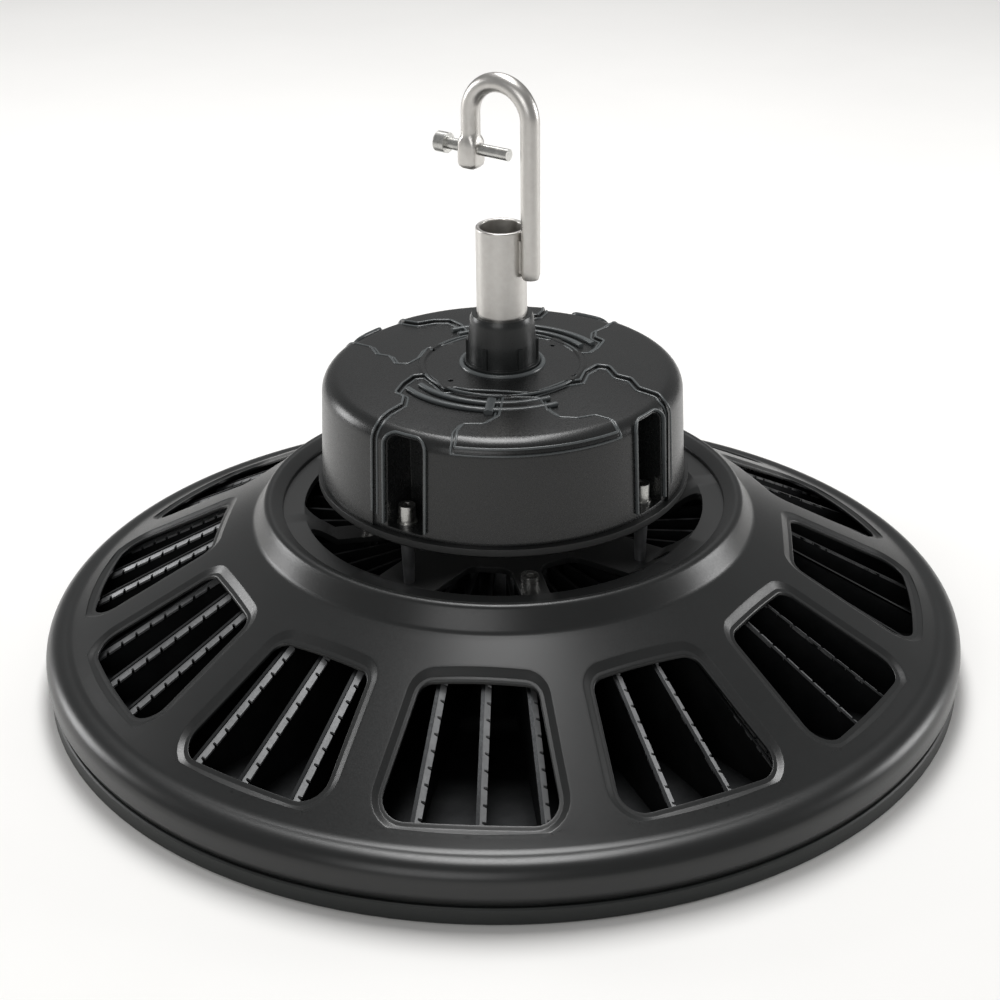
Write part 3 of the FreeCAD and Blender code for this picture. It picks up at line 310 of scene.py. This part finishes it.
sink_low, sink_high = (np.array(corner) * 1000 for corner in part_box("heat_sink"))
BASE_MM, BOARD_STEP_MM, BOARD_SEAT_MM, LEAD_HOLE_MM = 10.5, 5.5, 168.0, 9.0
sink_top = sink_low[2] + BASE_MM
base_profile = np.array([[LEAD_HOLE_MM, sink_low[2] + BOARD_STEP_MM],
                         [BOARD_SEAT_MM, sink_low[2] + BOARD_STEP_MM],
                         [BOARD_SEAT_MM, sink_low[2]], [sink_high[0], sink_low[2]],
                         [sink_high[0], sink_top], [LEAD_HOLE_MM, sink_top]])

FIN_COUNT, FIN_MM, FIN_SHIFT_MM, FIN_INNER_MM, FIN_GAP_MM = 45, 1.4, -3.0, 46.0, 1.6
FIN_INSET_MM, ROOT_MM = 7.7, 1.0
fin_outer = sink_high[0] - FIN_INSET_MM
fin_top = sink_high[2]
fin_skin = WALL_MM + FIN_GAP_MM
fold_start = cone_foot_mm + (cone_level(cone_foot_mm, fin_skin) - fin_top) / np.tan(SLOPE)

# A web is an upright plate beside a radius, with its top cut off along the shell's cone.
web_r = np.array([FIN_INNER_MM, fold_start, fin_outer])
web_top = np.minimum(cone_level(web_r, fin_skin), fin_top)
side = FIN_SHIFT_MM + FIN_MM * np.array([-0.5, 0.5, 0.5, -0.5])
web_foot = sink_top - ROOT_MM + 0 * web_r
web_z = np.stack([web_foot, web_foot, web_top, web_top], 1)
webs = bars(np.stack([np.tile(web_r[:, None], 4), np.tile(side, (3, 1)), web_z], -1), FIN_COUNT)

# The fold leans out from the web's top, and a nick is cut into its edge at each pitch.
FOLD_MM, FOLD_DROP_MM, FOLD_THICK_MM, PITCH_MM, NICK_MM, SLANT_MM = 3.8, 1.7, 1.0, 7.3, 1.5, 0.3
tooth = np.array([0, PITCH_MM - NICK_MM, PITCH_MM - NICK_MM + SLANT_MM, PITCH_MM - SLANT_MM])
fold_length = (fin_outer - fold_start) / np.cos(SLOPE)
along = (np.arange(int(fold_length / PITCH_MM))[:, None] * PITCH_MM + tooth).ravel()
reach = np.tile([1.0, 1.0, 0.62, 0.62], len(along) // 4)
along, reach = np.append(along, fold_length), np.append(reach, 1.0)
fold_r = fold_start + along * np.cos(SLOPE)
fold_top = cone_level(fold_r, fin_skin)
inner_edge = FIN_SHIFT_MM - FIN_MM / 2
fold_side = np.stack([inner_edge + 0 * reach, inner_edge + FOLD_MM * reach,
                      inner_edge + FOLD_MM * reach, inner_edge + 0 * reach], 1)
fold_z = np.stack([fold_top - FOLD_THICK_MM, fold_top - FOLD_THICK_MM - FOLD_DROP_MM * reach,
                   fold_top - FOLD_DROP_MM * reach, fold_top], 1)
folds = bars(np.stack([np.tile(fold_r[:, None], 4), fold_side, fold_z], -1), FIN_COUNT)

# Four columns carry the hub plate. Each is a twelve-cornered bar made of three square ones.
PIN_CIRCLE_MM, COLUMN_INSET_MM, COLUMN_MM, DRIVER_DEG = 69.5, 11.5, 6.5, -75.0
column_at = PIN_CIRCLE_MM - COLUMN_INSET_MM
corner = np.radians([45, 135, 225, 315])


def column(turn_deg):
    """A square bar at the columns' circle, turned about its own axis."""
    x = column_at + COLUMN_MM * np.cos(corner + np.radians(turn_deg))
    y = COLUMN_MM * np.sin(corner + np.radians(turn_deg))
    levels = np.array([sink_top - ROOT_MM, fin_top])
    return bars(np.stack([np.tile(x, (2, 1)), np.tile(y, (2, 1)),
                          np.tile(levels[:, None], 4)], -1), 4, DRIVER_DEG)


# The base, webs and columns are coloured near black as painted shade for the shadow deep among the
# fins; the folds are light grey as a painted highlight where light falls on the fins' tops.
sink_painted_shade = anodised("anodised_painted_shade", "232425", "303132", 0.45)
own_piece("heat_sink_finished",
          [turned(*base_profile.T, np.radians(np.arange(0, 360, 2.5))), webs,
           column(0), column(30), column(60)],
          sink_painted_shade, ["heat_sink"], 30.0)
own_piece("fin_folds", [folds], anodised("fold_painted_highlight", "8b8c8d", "a2a3a4", 0.38),
          [], 30.0)

# ---------------------------------------------------------------- shell
# Die-cast aluminium cover with twelve cooling windows, satin black powder coat. Each
# window is framed by a bevel that runs down to a narrow flat lip round the opening.

WINDOWS, RIB_MM, WINDOW_BOW_MM = 12, 20.0, 280.0
LIP_MM, LIP_FLARE_MM, LIP_RISE_MM, LIP_HEIGHT_MM = 102.4, 6.0, 4.72, 5.8
MOUTH_WIDTH_MM, MOUTH_HEIGHT_MM, SEAT_GAP_MM, FOOT_MM = 6.9, 1.8, 0.15, 8.0
lip_foot = LIP_MM + LIP_FLARE_MM
hub_seat = cone_level(lip_foot) + LIP_RISE_MM
LIP_TO_WINDOW_MM, WINDOW_TO_RIM_MM, PATCH_BORDER_MM = 17.5, 13.5, 7.0
WINDOW_ROLL_IN_MM, WINDOW_ROLL_OUT_MM = 6.0, 8.5
window_in, window_out = lip_foot + LIP_TO_WINDOW_MM, cone_foot_mm - WINDOW_TO_RIM_MM
patch_in, patch_out = window_in - PATCH_BORDER_MM, window_out + PATCH_BORDER_MM


def rolled(corners, steps=7, closed=False):
    """A path of (x, y, roll) corners, where each corner is an arc tangent to both its runs."""
    corners = np.array(corners, float)
    count = len(corners)
    path = []
    for k, (x, y, roll) in enumerate(corners):
        here = np.array([x, y])
        if roll == 0 or (not closed and k in (0, count - 1)):
            path.append(here[None])
            continue
        into = here - corners[k - 1, :2]
        away = corners[(k + 1) % count, :2] - here
        into, away = into / np.hypot(*into), away / np.hypot(*away)
        turn = np.arctan2(into[0] * away[1] - into[1] * away[0], into @ away)
        start = here - into * roll * np.tan(abs(turn) / 2)
        side = np.array([-into[1], into[0]]) * np.sign(turn)
        sweep = np.linspace(0, abs(turn), steps)[:, None]
        path.append(start + roll * (np.sin(sweep) * into + (1 - np.cos(sweep)) * side))
    return np.concatenate(path)


def evenly(path, spacing, closed=False):
    """The path with its long straight runs cut into steps no longer than the spacing."""
    ends = np.roll(path, -1, 0) if closed else path[1:]
    starts = path if closed else path[:-1]
    counts = np.maximum(np.ceil(np.hypot(*(ends - starts).T) / spacing - 0.01), 1).astype(int)
    which = np.repeat(np.arange(len(starts)), counts)
    share = np.concatenate([np.arange(n) / n for n in counts])[:, None]
    cut = starts[which] + (ends - starts)[which] * share
    return cut if closed else np.concatenate([cut, path[-1:]])


def window_outline(border):
    """A window's outline, widened by a border, as (radius, angle), the same count for any.

    The straight-sided, round-cornered window bows out towards the rim by (h^2 - y^2) / 2B.
    """
    inner, outer = window_in - border, window_out + border
    half = [r * np.sin(np.pi / WINDOWS) - RIB_MM / 2 + border / np.cos(np.pi / WINDOWS)
            for r in (inner, outer)]
    rolls = WINDOW_ROLL_IN_MM + border, WINDOW_ROLL_OUT_MM + border
    path = rolled([(inner, -half[0], rolls[0]), (outer, -half[1], rolls[1]),
                   (outer, half[1], rolls[1]), (inner, half[0], rolls[0])], 8, closed=True)
    share = np.linspace(0, 1, 13)[:-1, None]
    corners = path.reshape(4, 8, 2)
    runs = [np.concatenate([corner_points[:-1],
                            corner_points[-1] + (following[0] - corner_points[-1]) * share])
            for corner_points, following in zip(corners, np.roll(corners, -1, 0))]
    x, y = np.concatenate(runs).T
    bow = (half[1] ** 2 - y ** 2) / (2 * WINDOW_BOW_MM)
    x = x + bow * np.clip((x - inner) / (outer - inner), 0, 1)
    return np.stack([np.hypot(x, y), np.arctan2(y, x)], -1)


# Loops run from the wall of the opening over its flat lip and bevel to the plain skin,
# and from there to the border of the window's twelfth of the cone.
bevel = evenly(rolled([(0.0, WALL_MM, 0), (0.0, 1.3, 0.35), (1.7, 1.3, 0.5),
                       (4.3, 0.0, 0.9), (5.4, 0.0, 0)], 5), 1.2)
loops = np.stack([window_outline(border) for border, _ in bevel])
middle, reach = (patch_in + patch_out) / 2, (patch_out - patch_in) / 2
spot = (loops[-1] - [middle, 0]) / [reach, np.pi / WINDOWS]
edge = spot / np.abs(spot).max(-1, keepdims=True)
for sign in ((1, 1), (1, -1), (-1, 1), (-1, -1)):
    edge[np.argmin(np.abs(edge - sign).sum(-1))] = sign
border = edge * [reach, np.pi / WINDOWS] + [middle, 0]
share = np.linspace(0, 1, 8)[1:, None, None]
plain = loops[-1] + (border - loops[-1]) * share
outside = np.concatenate([loops, plain])
depths = np.concatenate([bevel[:, 1], np.zeros(len(plain))])
inside = loops[0] + (border - loops[0]) * np.linspace(0, 1, 6)[:, None, None]


def patch(loops, depths, faces_in):
    """Twelve copies of a window's patch of the cone, from loops of (radius, angle)."""
    r, a = loops[..., 0], loops[..., 1]
    z = cone_level(r, np.reshape(depths, (-1, 1)))
    start = np.arange(WINDOWS)[:, None, None] * 2 * np.pi / WINDOWS
    points = np.stack([r * np.cos(a + start), r * np.sin(a + start), z + 0 * start], -1)
    faces = grid_faces(*r.shape, closed_columns=True)[:, ::-1 if faces_in else 1]
    faces = faces + np.arange(WINDOWS)[:, None, None] * r.size
    return points.reshape(-1, 3), faces.reshape(-1, 4)


def ring_angles(side):
    """Angles of the patches' points on their border towards the rim (1) or the lip (-1)."""
    own = np.sort(border[edge[:, 0] == side, 1])[:-1]
    return (own + np.arange(WINDOWS)[:, None] * 2 * np.pi / WINDOWS).ravel()


rim_inner = rim_mm - WALL_MM
cone_inner_foot = cone_foot_mm + 0.4
rim_profile = evenly(rolled([
    (patch_out, cone_level(patch_out, WALL_MM), 0),
    (cone_inner_foot, cone_level(cone_inner_foot, WALL_MM), 4.0),
    (rim_inner, RIM_TOP_MM - WALL_MM, 5.0),
    (rim_inner, FOOT_MM + 5.0, 2.0),
    (rim_mm - 5.1, FOOT_MM, 0),
    (rim_mm - 2.6, FOOT_MM, 0.6),
    (rim_mm, FOOT_MM + 5.0, 4.0),
    (rim_mm, RIM_TOP_MM, 8.0),
    (cone_foot_mm, RIM_TOP_MM, 7.0),
    (patch_out, cone_level(patch_out), 0)], 9), 3.0)
lip_profile = evenly(rolled([
    (patch_in, cone_level(patch_in), 0),
    (lip_foot, cone_level(lip_foot), 5.0),
    (LIP_MM, hub_seat + LIP_HEIGHT_MM, 3.0),
    (LIP_MM - MOUTH_WIDTH_MM, hub_seat + MOUTH_HEIGHT_MM, 0.8),
    (LIP_MM - MOUTH_WIDTH_MM, hub_seat, 0),
    (LIP_MM - SEAT_GAP_MM, hub_seat, 0),
    (LIP_MM - SEAT_GAP_MM, cone_level(LIP_MM - SEAT_GAP_MM, WALL_MM), 0),
    (patch_in, cone_level(patch_in, WALL_MM), 0)], 9), 3.0)


def open_turned(profile, angles):
    """An open profile carried round the axis, its skin facing out."""
    r, z = profile[:, :1], profile[:, 1:]
    points = np.stack([r * np.cos(angles), r * np.sin(angles), z + 0 * angles], -1)
    return points.reshape(-1, 3), grid_faces(len(r), len(angles), closed_columns=True)[:, ::-1]


own_piece("shell_finished",
          [patch(outside, depths, False), patch(inside, WALL_MM + 0 * inside[:, 0, 0], True),
           open_turned(rim_profile, ring_angles(1)), open_turned(lip_profile, ring_angles(-1))],
          powder_coat("powder_coat_shell", "151616", "1b1c1c", 0.32),
          ["shell"], 50.0)

# ---------------------------------------------------------------- hub plate, base and pins
# Pressed plate that closes the shell's mouth, with kidney-shaped vents between its
# spokes, four tapered aluminium pins on it, and the driver's turned base plate.

hub_coat = powder_coat("powder_coat_hub", "141515", "1a1b1b", 0.36, edge_mm=0.5)
dressed("hub_plate", hub_coat)
dressed("driver_base", hub_coat)
dressed("driver_pins", anodised("turned_aluminium", "6f7071", "87888a", 0.35))
black_rubber = moulded_rubber("black_rubber", "181818", "202020")
dressed("sink_gland", black_rubber)
dressed("driver_gland", black_rubber)

# ---------------------------------------------------------------- inside the driver
# Glass-fibre board with a taped ferrite transformer, an enamelled copper choke and
# three sleeved capacitors.

dressed("driver_board", solder_resist("green_solder_resist", "1c6136", "237444", 5))
dressed("transformer", moulded_rubber("taped_ferrite", "35332f", "403e39"))
dressed("choke", anodised("enamelled_copper", "9a4f26", "b0602f", 0.35))
dressed("capacitors", solder_resist("shrink_sleeve", "222d42", "2a3750", 6))

# ---------------------------------------------------------------- driver cover
# Die-cast can with raised fields on its crown and sides and four recessed screw
# pockets, coated like the shell but a little glossier.

cover_coat = powder_coat("powder_coat_cover", "141515", "1a1b1b", 0.28, edge_mm=0.6)
dressed("driver_cover", cover_coat, 30.0)

# The can's skin, from the flat of its crown over its rolled shoulder to its foot, is
# measured by the angle about the axis and the depth s along it from the flat.
CROWN_FLAT_MM, CROWN_RISE_MM, CAN_TAPER_MM, CAN_ROLL_MM, CAN_INSET_MM = 17.0, 3.0, 1.8, 8.0, 1.6
cover_low, cover_high = (np.array(corner) * 1000 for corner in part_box("driver_cover"))
can_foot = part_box("driver_base")[1][0] * 1000 - CAN_INSET_MM
shoulder = cover_high[2] - CROWN_RISE_MM
meridian = evenly(rolled([(CROWN_FLAT_MM, cover_high[2], 0),
                          (can_foot - CAN_TAPER_MM, shoulder, CAN_ROLL_MM),
                          (can_foot, cover_low[2], 0)], 12), 1.0)
length = np.concatenate([[0], np.cumsum(np.hypot(*np.diff(meridian, axis=0).T))])


def depth_at(z):
    """Depth s down the can's skin at a height."""
    return np.interp(-np.asarray(z, float), -meridian[:, 1], length)


def on_can(angle, s, inset_mm):
    """Point and outward normal of the can's skin at an angle and a depth s along it."""
    r, z = np.interp(s, length, meridian[:, 0]), np.interp(s, length, meridian[:, 1])
    slope = np.gradient(meridian, length, axis=0)
    dr, dz = np.interp(s, length, slope[:, 0]), np.interp(s, length, slope[:, 1])
    unit = np.hypot(dr, dz)
    across = np.stack([np.cos(angle), np.sin(angle)], -1)
    normal = np.column_stack([across * (-dz / unit)[:, None], dr / unit])
    return np.column_stack([across * r[:, None], z]) - inset_mm * normal, normal


def capped(rings):
    """A tube from rings of points, closed at its ends unless they are the same ring."""
    if not np.allclose(rings[0], rings[-1], atol=1e-3):
        ends = [np.broadcast_to(rings[k].mean(0), rings[k].shape) for k in (0, -1)]
        rings = np.concatenate([ends[:1], rings, ends[1:]])
    return rings.reshape(-1, 3), grid_faces(*rings.shape[:2], closed_columns=True)


def ridge(angle, s, width_mm, rise_mm, root_mm=0.5, inset_mm=0.0):
    """A closed tube along a line of the skin: half an oval above it, and a root below."""
    place, normal = on_can(angle, s, inset_mm)
    side = np.cross(normal, np.gradient(place, axis=0))
    side /= np.linalg.norm(side, axis=1)[:, None]
    turn = np.arange(12) * 2 * np.pi / 12
    lift = np.sin(turn) * np.where(np.sin(turn) > 0, rise_mm, root_mm)
    return capped(place[:, None] + side[:, None] * (np.cos(turn) * width_mm / 2)[:, None]
                  + normal[:, None] * lift[:, None])


def edge_line(corners, shift_mm, foot_mm):
    """Angles and depths s of a field's edge: its plan corners (x, y), shifted to the left,
    then straight down the can's wall to a height where the edge leaves the crown."""
    path = evenly(rolled([(x, y, 1.8) for x, y in corners], 6), 0.8)
    ahead = np.gradient(path, axis=0)
    ahead /= np.hypot(*ahead.T)[:, None]
    path = path + shift_mm * np.stack([-ahead[:, 1], ahead[:, 0]], 1)
    r, angle = np.hypot(*path.T), np.unwrap(np.arctan2(path[:, 1], path[:, 0]))
    top = meridian[:, 1] > shoulder - 2.0
    on_top = r < meridian[top, 0].max() - 0.3
    s, angle = np.interp(r[on_top], meridian[top, 0], length[top]), angle[on_top]
    down = np.arange(length[top].max(), depth_at(foot_mm), 1.5)
    if not on_top[0]:
        s, angle = np.append(down[::-1], s), np.append(angle[0] + 0 * down, angle)
    if not on_top[-1]:
        s, angle = np.append(s, down), np.append(angle, angle[-1] + 0 * down)
    return angle, s


# Plan corners of the fields' edges. The side fields are on the left of their edge. The
# apron field is on the right of its own, which closes along the can's shoulder.
sides_edge = [(-59, -70), (-46.3, -58), (-42.5, -48.5), (-37.5, -41), (-37.5, -34),
              (-41.5, -30), (-39.5, -21.5), (-36, -14.5), (-31, -13.5), (-26.2, -20.5),
              (-22, -28.5), (-17.5, -27), (-12, -29), (14.5, -30.5), (22, -24), (27, -18.5),
              (34, -15), (35.5, -6), (40, 1.5), (45, 1), (48.5, -7.5), (54.5, -10),
              (58, -18.5), (66, -23.5), (71.5, -31), (96, -44)]
apron_edge = [(-13.5, -90), (-13.5, -64.5), (-11.5, -58.5), (-3, -58), (2, -51),
              (2.5, -34), (18, -33.5), (22, -44), (27, -50), (34, -50),
              (41, -46.5), (47.5, -49.5), (52, -58), (56, -80)]
RELIEF_MM, APRON_FOOT_MM, EDGE_FOOT_MM, EDGE_WIDTH_MM, EDGE_RISE_MM = 1.2, 7.4, 5.0, 1.1, 0.4
ridges = []


def edge_ridges(corners, raised_side, foot_mm, closed):
    """Two ridges along a field's edge: one on its raised side and one on its low side."""
    for shift, inset in ((0.5, 0.0), (-1.3, RELIEF_MM)):
        angle, s = edge_line(corners, shift * raised_side, foot_mm + shift)
        if closed:
            back = np.linspace(angle[-1], angle[0], 60)
            angle, s = np.append(angle, back), np.append(s, s[-1] + 0 * back)
        ridges.append(ridge(angle, s, EDGE_WIDTH_MM, EDGE_RISE_MM, 0.6, inset))


# Two broad arcs lie in the low part of the crown, joined by a clip, with a ring inside.
ARC_RADII_MM, ARC_MM, ARC_RISE_MM, ARC_ROOT_MM = (39.5, 45.5), 2.4, 0.5, 1.8
CLIP_DEG, CLIP_MM, CLIP_RISE_MM = -92.4, 4.0, 0.9
for half_turn in (0, 1):
    sign = 1 - 2 * half_turn
    edge_ridges([(sign * x, sign * y) for x, y in sides_edge], 1,
                cover_low[2] + EDGE_FOOT_MM, False)
    edge_ridges([(sign * x, sign * y) for x, y in apron_edge], -1,
                cover_high[2] - APRON_FOOT_MM, True)
    arc = np.radians(np.arange(-145, -56, 1.5)) + half_turn * np.pi
    for radius in ARC_RADII_MM:
        ridges.append(ridge(arc, radius - CROWN_FLAT_MM + 0 * arc, ARC_MM, ARC_RISE_MM,
                            ARC_ROOT_MM))
    run = np.arange(ARC_RADII_MM[0] - 2.5, ARC_RADII_MM[1] + 3.5, 0.5) - CROWN_FLAT_MM
    ridges.append(ridge(np.radians(CLIP_DEG) + half_turn * np.pi + 0 * run, run, CLIP_MM,
                        CLIP_RISE_MM, ARC_ROOT_MM))
RING_MM, RING_WIDTH_MM, RING_RISE_MM = 34.0, 1.3, 0.7
ring = np.radians(np.arange(0, 361, 2.0))
ridges.append(ridge(ring, RING_MM - CROWN_FLAT_MM + 0 * ring, RING_WIDTH_MM, RING_RISE_MM))

# A frame of the same ridge runs round each screw pocket, open at its foot.
POCKET_MM, POCKET_SHIFT_MM, POCKET_TOP_MM, POCKET_ROLL_MM = 17.0, 3.8, 42.0, 4.0
POCKET_DEG, FRAME_MM, FRAME_FOOT_MM = DRIVER_DEG + 45.0, 1.6, 3.0
half = POCKET_MM / 2 + FRAME_MM
top, foot = cover_low[2] + POCKET_TOP_MM + FRAME_MM, cover_low[2] + FRAME_FOOT_MM
frame_path = evenly(rolled([(-half, foot, 0), (-half, top, POCKET_ROLL_MM + FRAME_MM),
                            (half, top, POCKET_ROLL_MM + FRAME_MM), (half, foot, 0)], 9), 1.0)
for k in range(4):
    across = frame_path[:, 0] + POCKET_SHIFT_MM * (1 if k % 2 else -1)
    s = depth_at(frame_path[:, 1])
    wall = np.interp(s, length, meridian[:, 0])
    angle = np.radians(POCKET_DEG + 90 * k) + np.arcsin(across / wall)
    ridges.append(ridge(angle, s, 1.0, EDGE_RISE_MM, FRAME_MM))

# On the ridges the coat is painted lighter and made glossier as a painted highlight, so they show
# as thin pale lines.
highlight_coat = powder_coat("powder_coat_painted_highlight", "434647", "55595a", 0.24)
own_piece("cover_ridges", ridges, highlight_coat, [], 60.0)

# ---------------------------------------------------------------- hanger and hook
# Thin-wall steel tube held by a moulded collar and a lock nut, with an 8 mm rod hook
# welded to its side, all zinc plated. A socket-head screw closes the hook's mouth.

dressed("collar", powder_coat("moulded_nylon", "191b1b", "222424", 0.3, 0.4, 0.01, 0.4))

# Satin zinc is the same plating over drawn steel, duller and warmer than on the screws.
satin_zinc = plated_steel("satin_zinc", "c6c3bf", "cdcbc7", 0.34)
dressed("hanger_tube", satin_zinc)

# A moulded bead runs round the collar's foot, in the ridges' lighter coat as a painted highlight.
FOOT_RADIUS_MM, BEAD_MM = 17.2, 1.1
turn = np.arange(16) * 2 * np.pi / 16
own_piece("collar_bead", [turned(FOOT_RADIUS_MM + BEAD_MM * np.cos(turn),
                                 cover_high[2] + BEAD_MM * np.sin(turn),
                                 np.radians(np.arange(0, 360, 3.0)))],
          highlight_coat, [], 60.0)

# The rod runs up beside the tube, over a half circle and down to a lug, where its round
# section is forged to a rounded square: x^n + y^n = 1, with n going from 2 to 5.
HOOK_DEG, ROD_MM, LEG_MM, ROD_END_MM = -30.0, 4.0, 14.5, 3.0
LUG_MM, LUG_START_MM, LUG_FULL_MM, LUG_END_MM = 4.5, 9.5, 12.5, 23.0
rod_foot, rod_top = (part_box("hook")[k][2] * 1000 for k in (0, 1))
bend = rod_top - ROD_MM - LEG_MM
rise = np.linspace(rod_foot + ROD_END_MM, bend, 30)[:-1]
sweep = np.linspace(0, np.pi, 41)
drop = np.concatenate([np.linspace(0, LUG_START_MM, 6)[1:], [10.5, 12.0, 14.0, 20.5, 22.0],
                       [LUG_END_MM]])
centre = np.concatenate([np.stack([LEG_MM + 0 * rise, rise], 1),
                         np.stack([LEG_MM * np.cos(sweep), bend + LEG_MM * np.sin(sweep)], 1),
                         np.stack([-LEG_MM + 0 * drop, bend - drop], 1)])
out = np.concatenate([np.tile([1.0, 0.0], (len(rise), 1)),
                      np.stack([np.cos(sweep), np.sin(sweep)], 1),
                      np.tile([-1.0, 0.0], (len(drop), 1))])
forged = np.interp(np.concatenate([0 * rise, 0 * sweep, drop]), [LUG_START_MM, LUG_FULL_MM],
                   [0, 1])

# Both ends are chamfered by drawing in their last rings.
half = ROD_MM + (LUG_MM - ROD_MM) * forged
half[:2] *= [0.85, 1.0]
half[-3:] *= [1.0, 0.93, 0.7]
power = 2.0 / (2.0 + 3.0 * forged)[:, None]
turn = np.arange(24) * 2 * np.pi / 24
flat = np.sign(np.cos(turn)) * np.abs(np.cos(turn)) ** power * half[:, None]
deep = np.sign(np.sin(turn)) * np.abs(np.sin(turn)) ** power * half[:, None]
x = centre[:, :1] + out[:, :1] * flat
z = centre[:, 1:] + out[:, 1:] * flat
lean = np.radians(HOOK_DEG)
rod = np.stack([x * np.cos(lean) - deep * np.sin(lean), x * np.sin(lean) + deep * np.cos(lean), z],
               -1)

# The weld fills the gap between the tube and the rod's lowest stretch.
WELD_IN_MM, WELD_OUT_MM, WELD_HALF_MM, WELD_FOOT_MM, WELD_TOP_MM = 9.6, 12.0, 2.2, 5.0, 19.0
weld = bars(np.array([[[WELD_IN_MM, -WELD_HALF_MM, z], [WELD_OUT_MM, -WELD_HALF_MM, z],
                       [WELD_OUT_MM, WELD_HALF_MM, z], [WELD_IN_MM, WELD_HALF_MM, z]]
                      for z in (rod_foot + WELD_FOOT_MM, rod_foot + WELD_TOP_MM)]), 1, HOOK_DEG)
own_piece("hook_finished", [capped(rod), weld], satin_zinc, ["hook"], 40.0)
dressed("hook_screw", zinc)

# ---------------------------------------------------------------- floor, light and camera
# A pale floor without a seam, a long soft lamp overhead, a low one at each side, a weak one
# in front and an even sky. Each lamp is aimed at the light's centre.

floor_paint, tree, shader = finish("pale_floor", Roughness=0.7)
_, shade = patches(tree, 300, 0.0, 1.0)
coloured(tree, shader, shade, "efeeec", "f3f2f0")
floor = mesh_object("floor", np.array([[-8, -8, 0], [8, -8, 0], [8, 8, 0], [-8, 8, 0.0]]),
                    np.array([[0, 1, 2, 3]]), floor_paint)

world = bpy.data.worlds.new("studio")
world.use_nodes = True
world.node_tree.nodes["Background"].inputs["Color"].default_value = linear("ffffff")
world.node_tree.nodes["Background"].inputs["Strength"].default_value = 0.27
bpy.context.scene.world = world

for name, place, width, depth, watts in (("top_lamp", (-0.06, 0.5, 1.5), 0.5, 1.1, 21),
                                         ("left_rim_lamp", (-1.6, 0.5, 0.45), 0.6, 0.6, 9),
                                         ("right_rim_lamp", (1.6, 0.5, 0.45), 0.6, 0.6, 9),
                                         ("front_lamp", (-0.4, -1.7, 0.9), 1.0, 1.0, 7)):
    lamp = bpy.data.lights.new(name, "AREA")
    lamp.shape = "RECTANGLE"
    lamp.energy, lamp.size, lamp.size_y = watts, width, depth
    holder = bpy.data.objects.new(name, lamp)
    bpy.context.scene.collection.objects.link(holder)
    holder.location = place
    holder.rotation_euler = (-holder.location).to_track_quat("-Z", "Y").to_euler()

camera = bpy.data.cameras.new("camera")
camera.lens = 79.78
camera.shift_x = -0.04706
viewer = bpy.data.objects.new("camera", camera)
bpy.context.scene.collection.objects.link(viewer)
viewer.location = (0.0691, -0.8602, 0.5101)
viewer.rotation_euler = np.radians((63.32, 0.0, 3.34))
bpy.context.scene.camera = viewer
bpy.context.scene.view_settings.view_transform = "Standard"
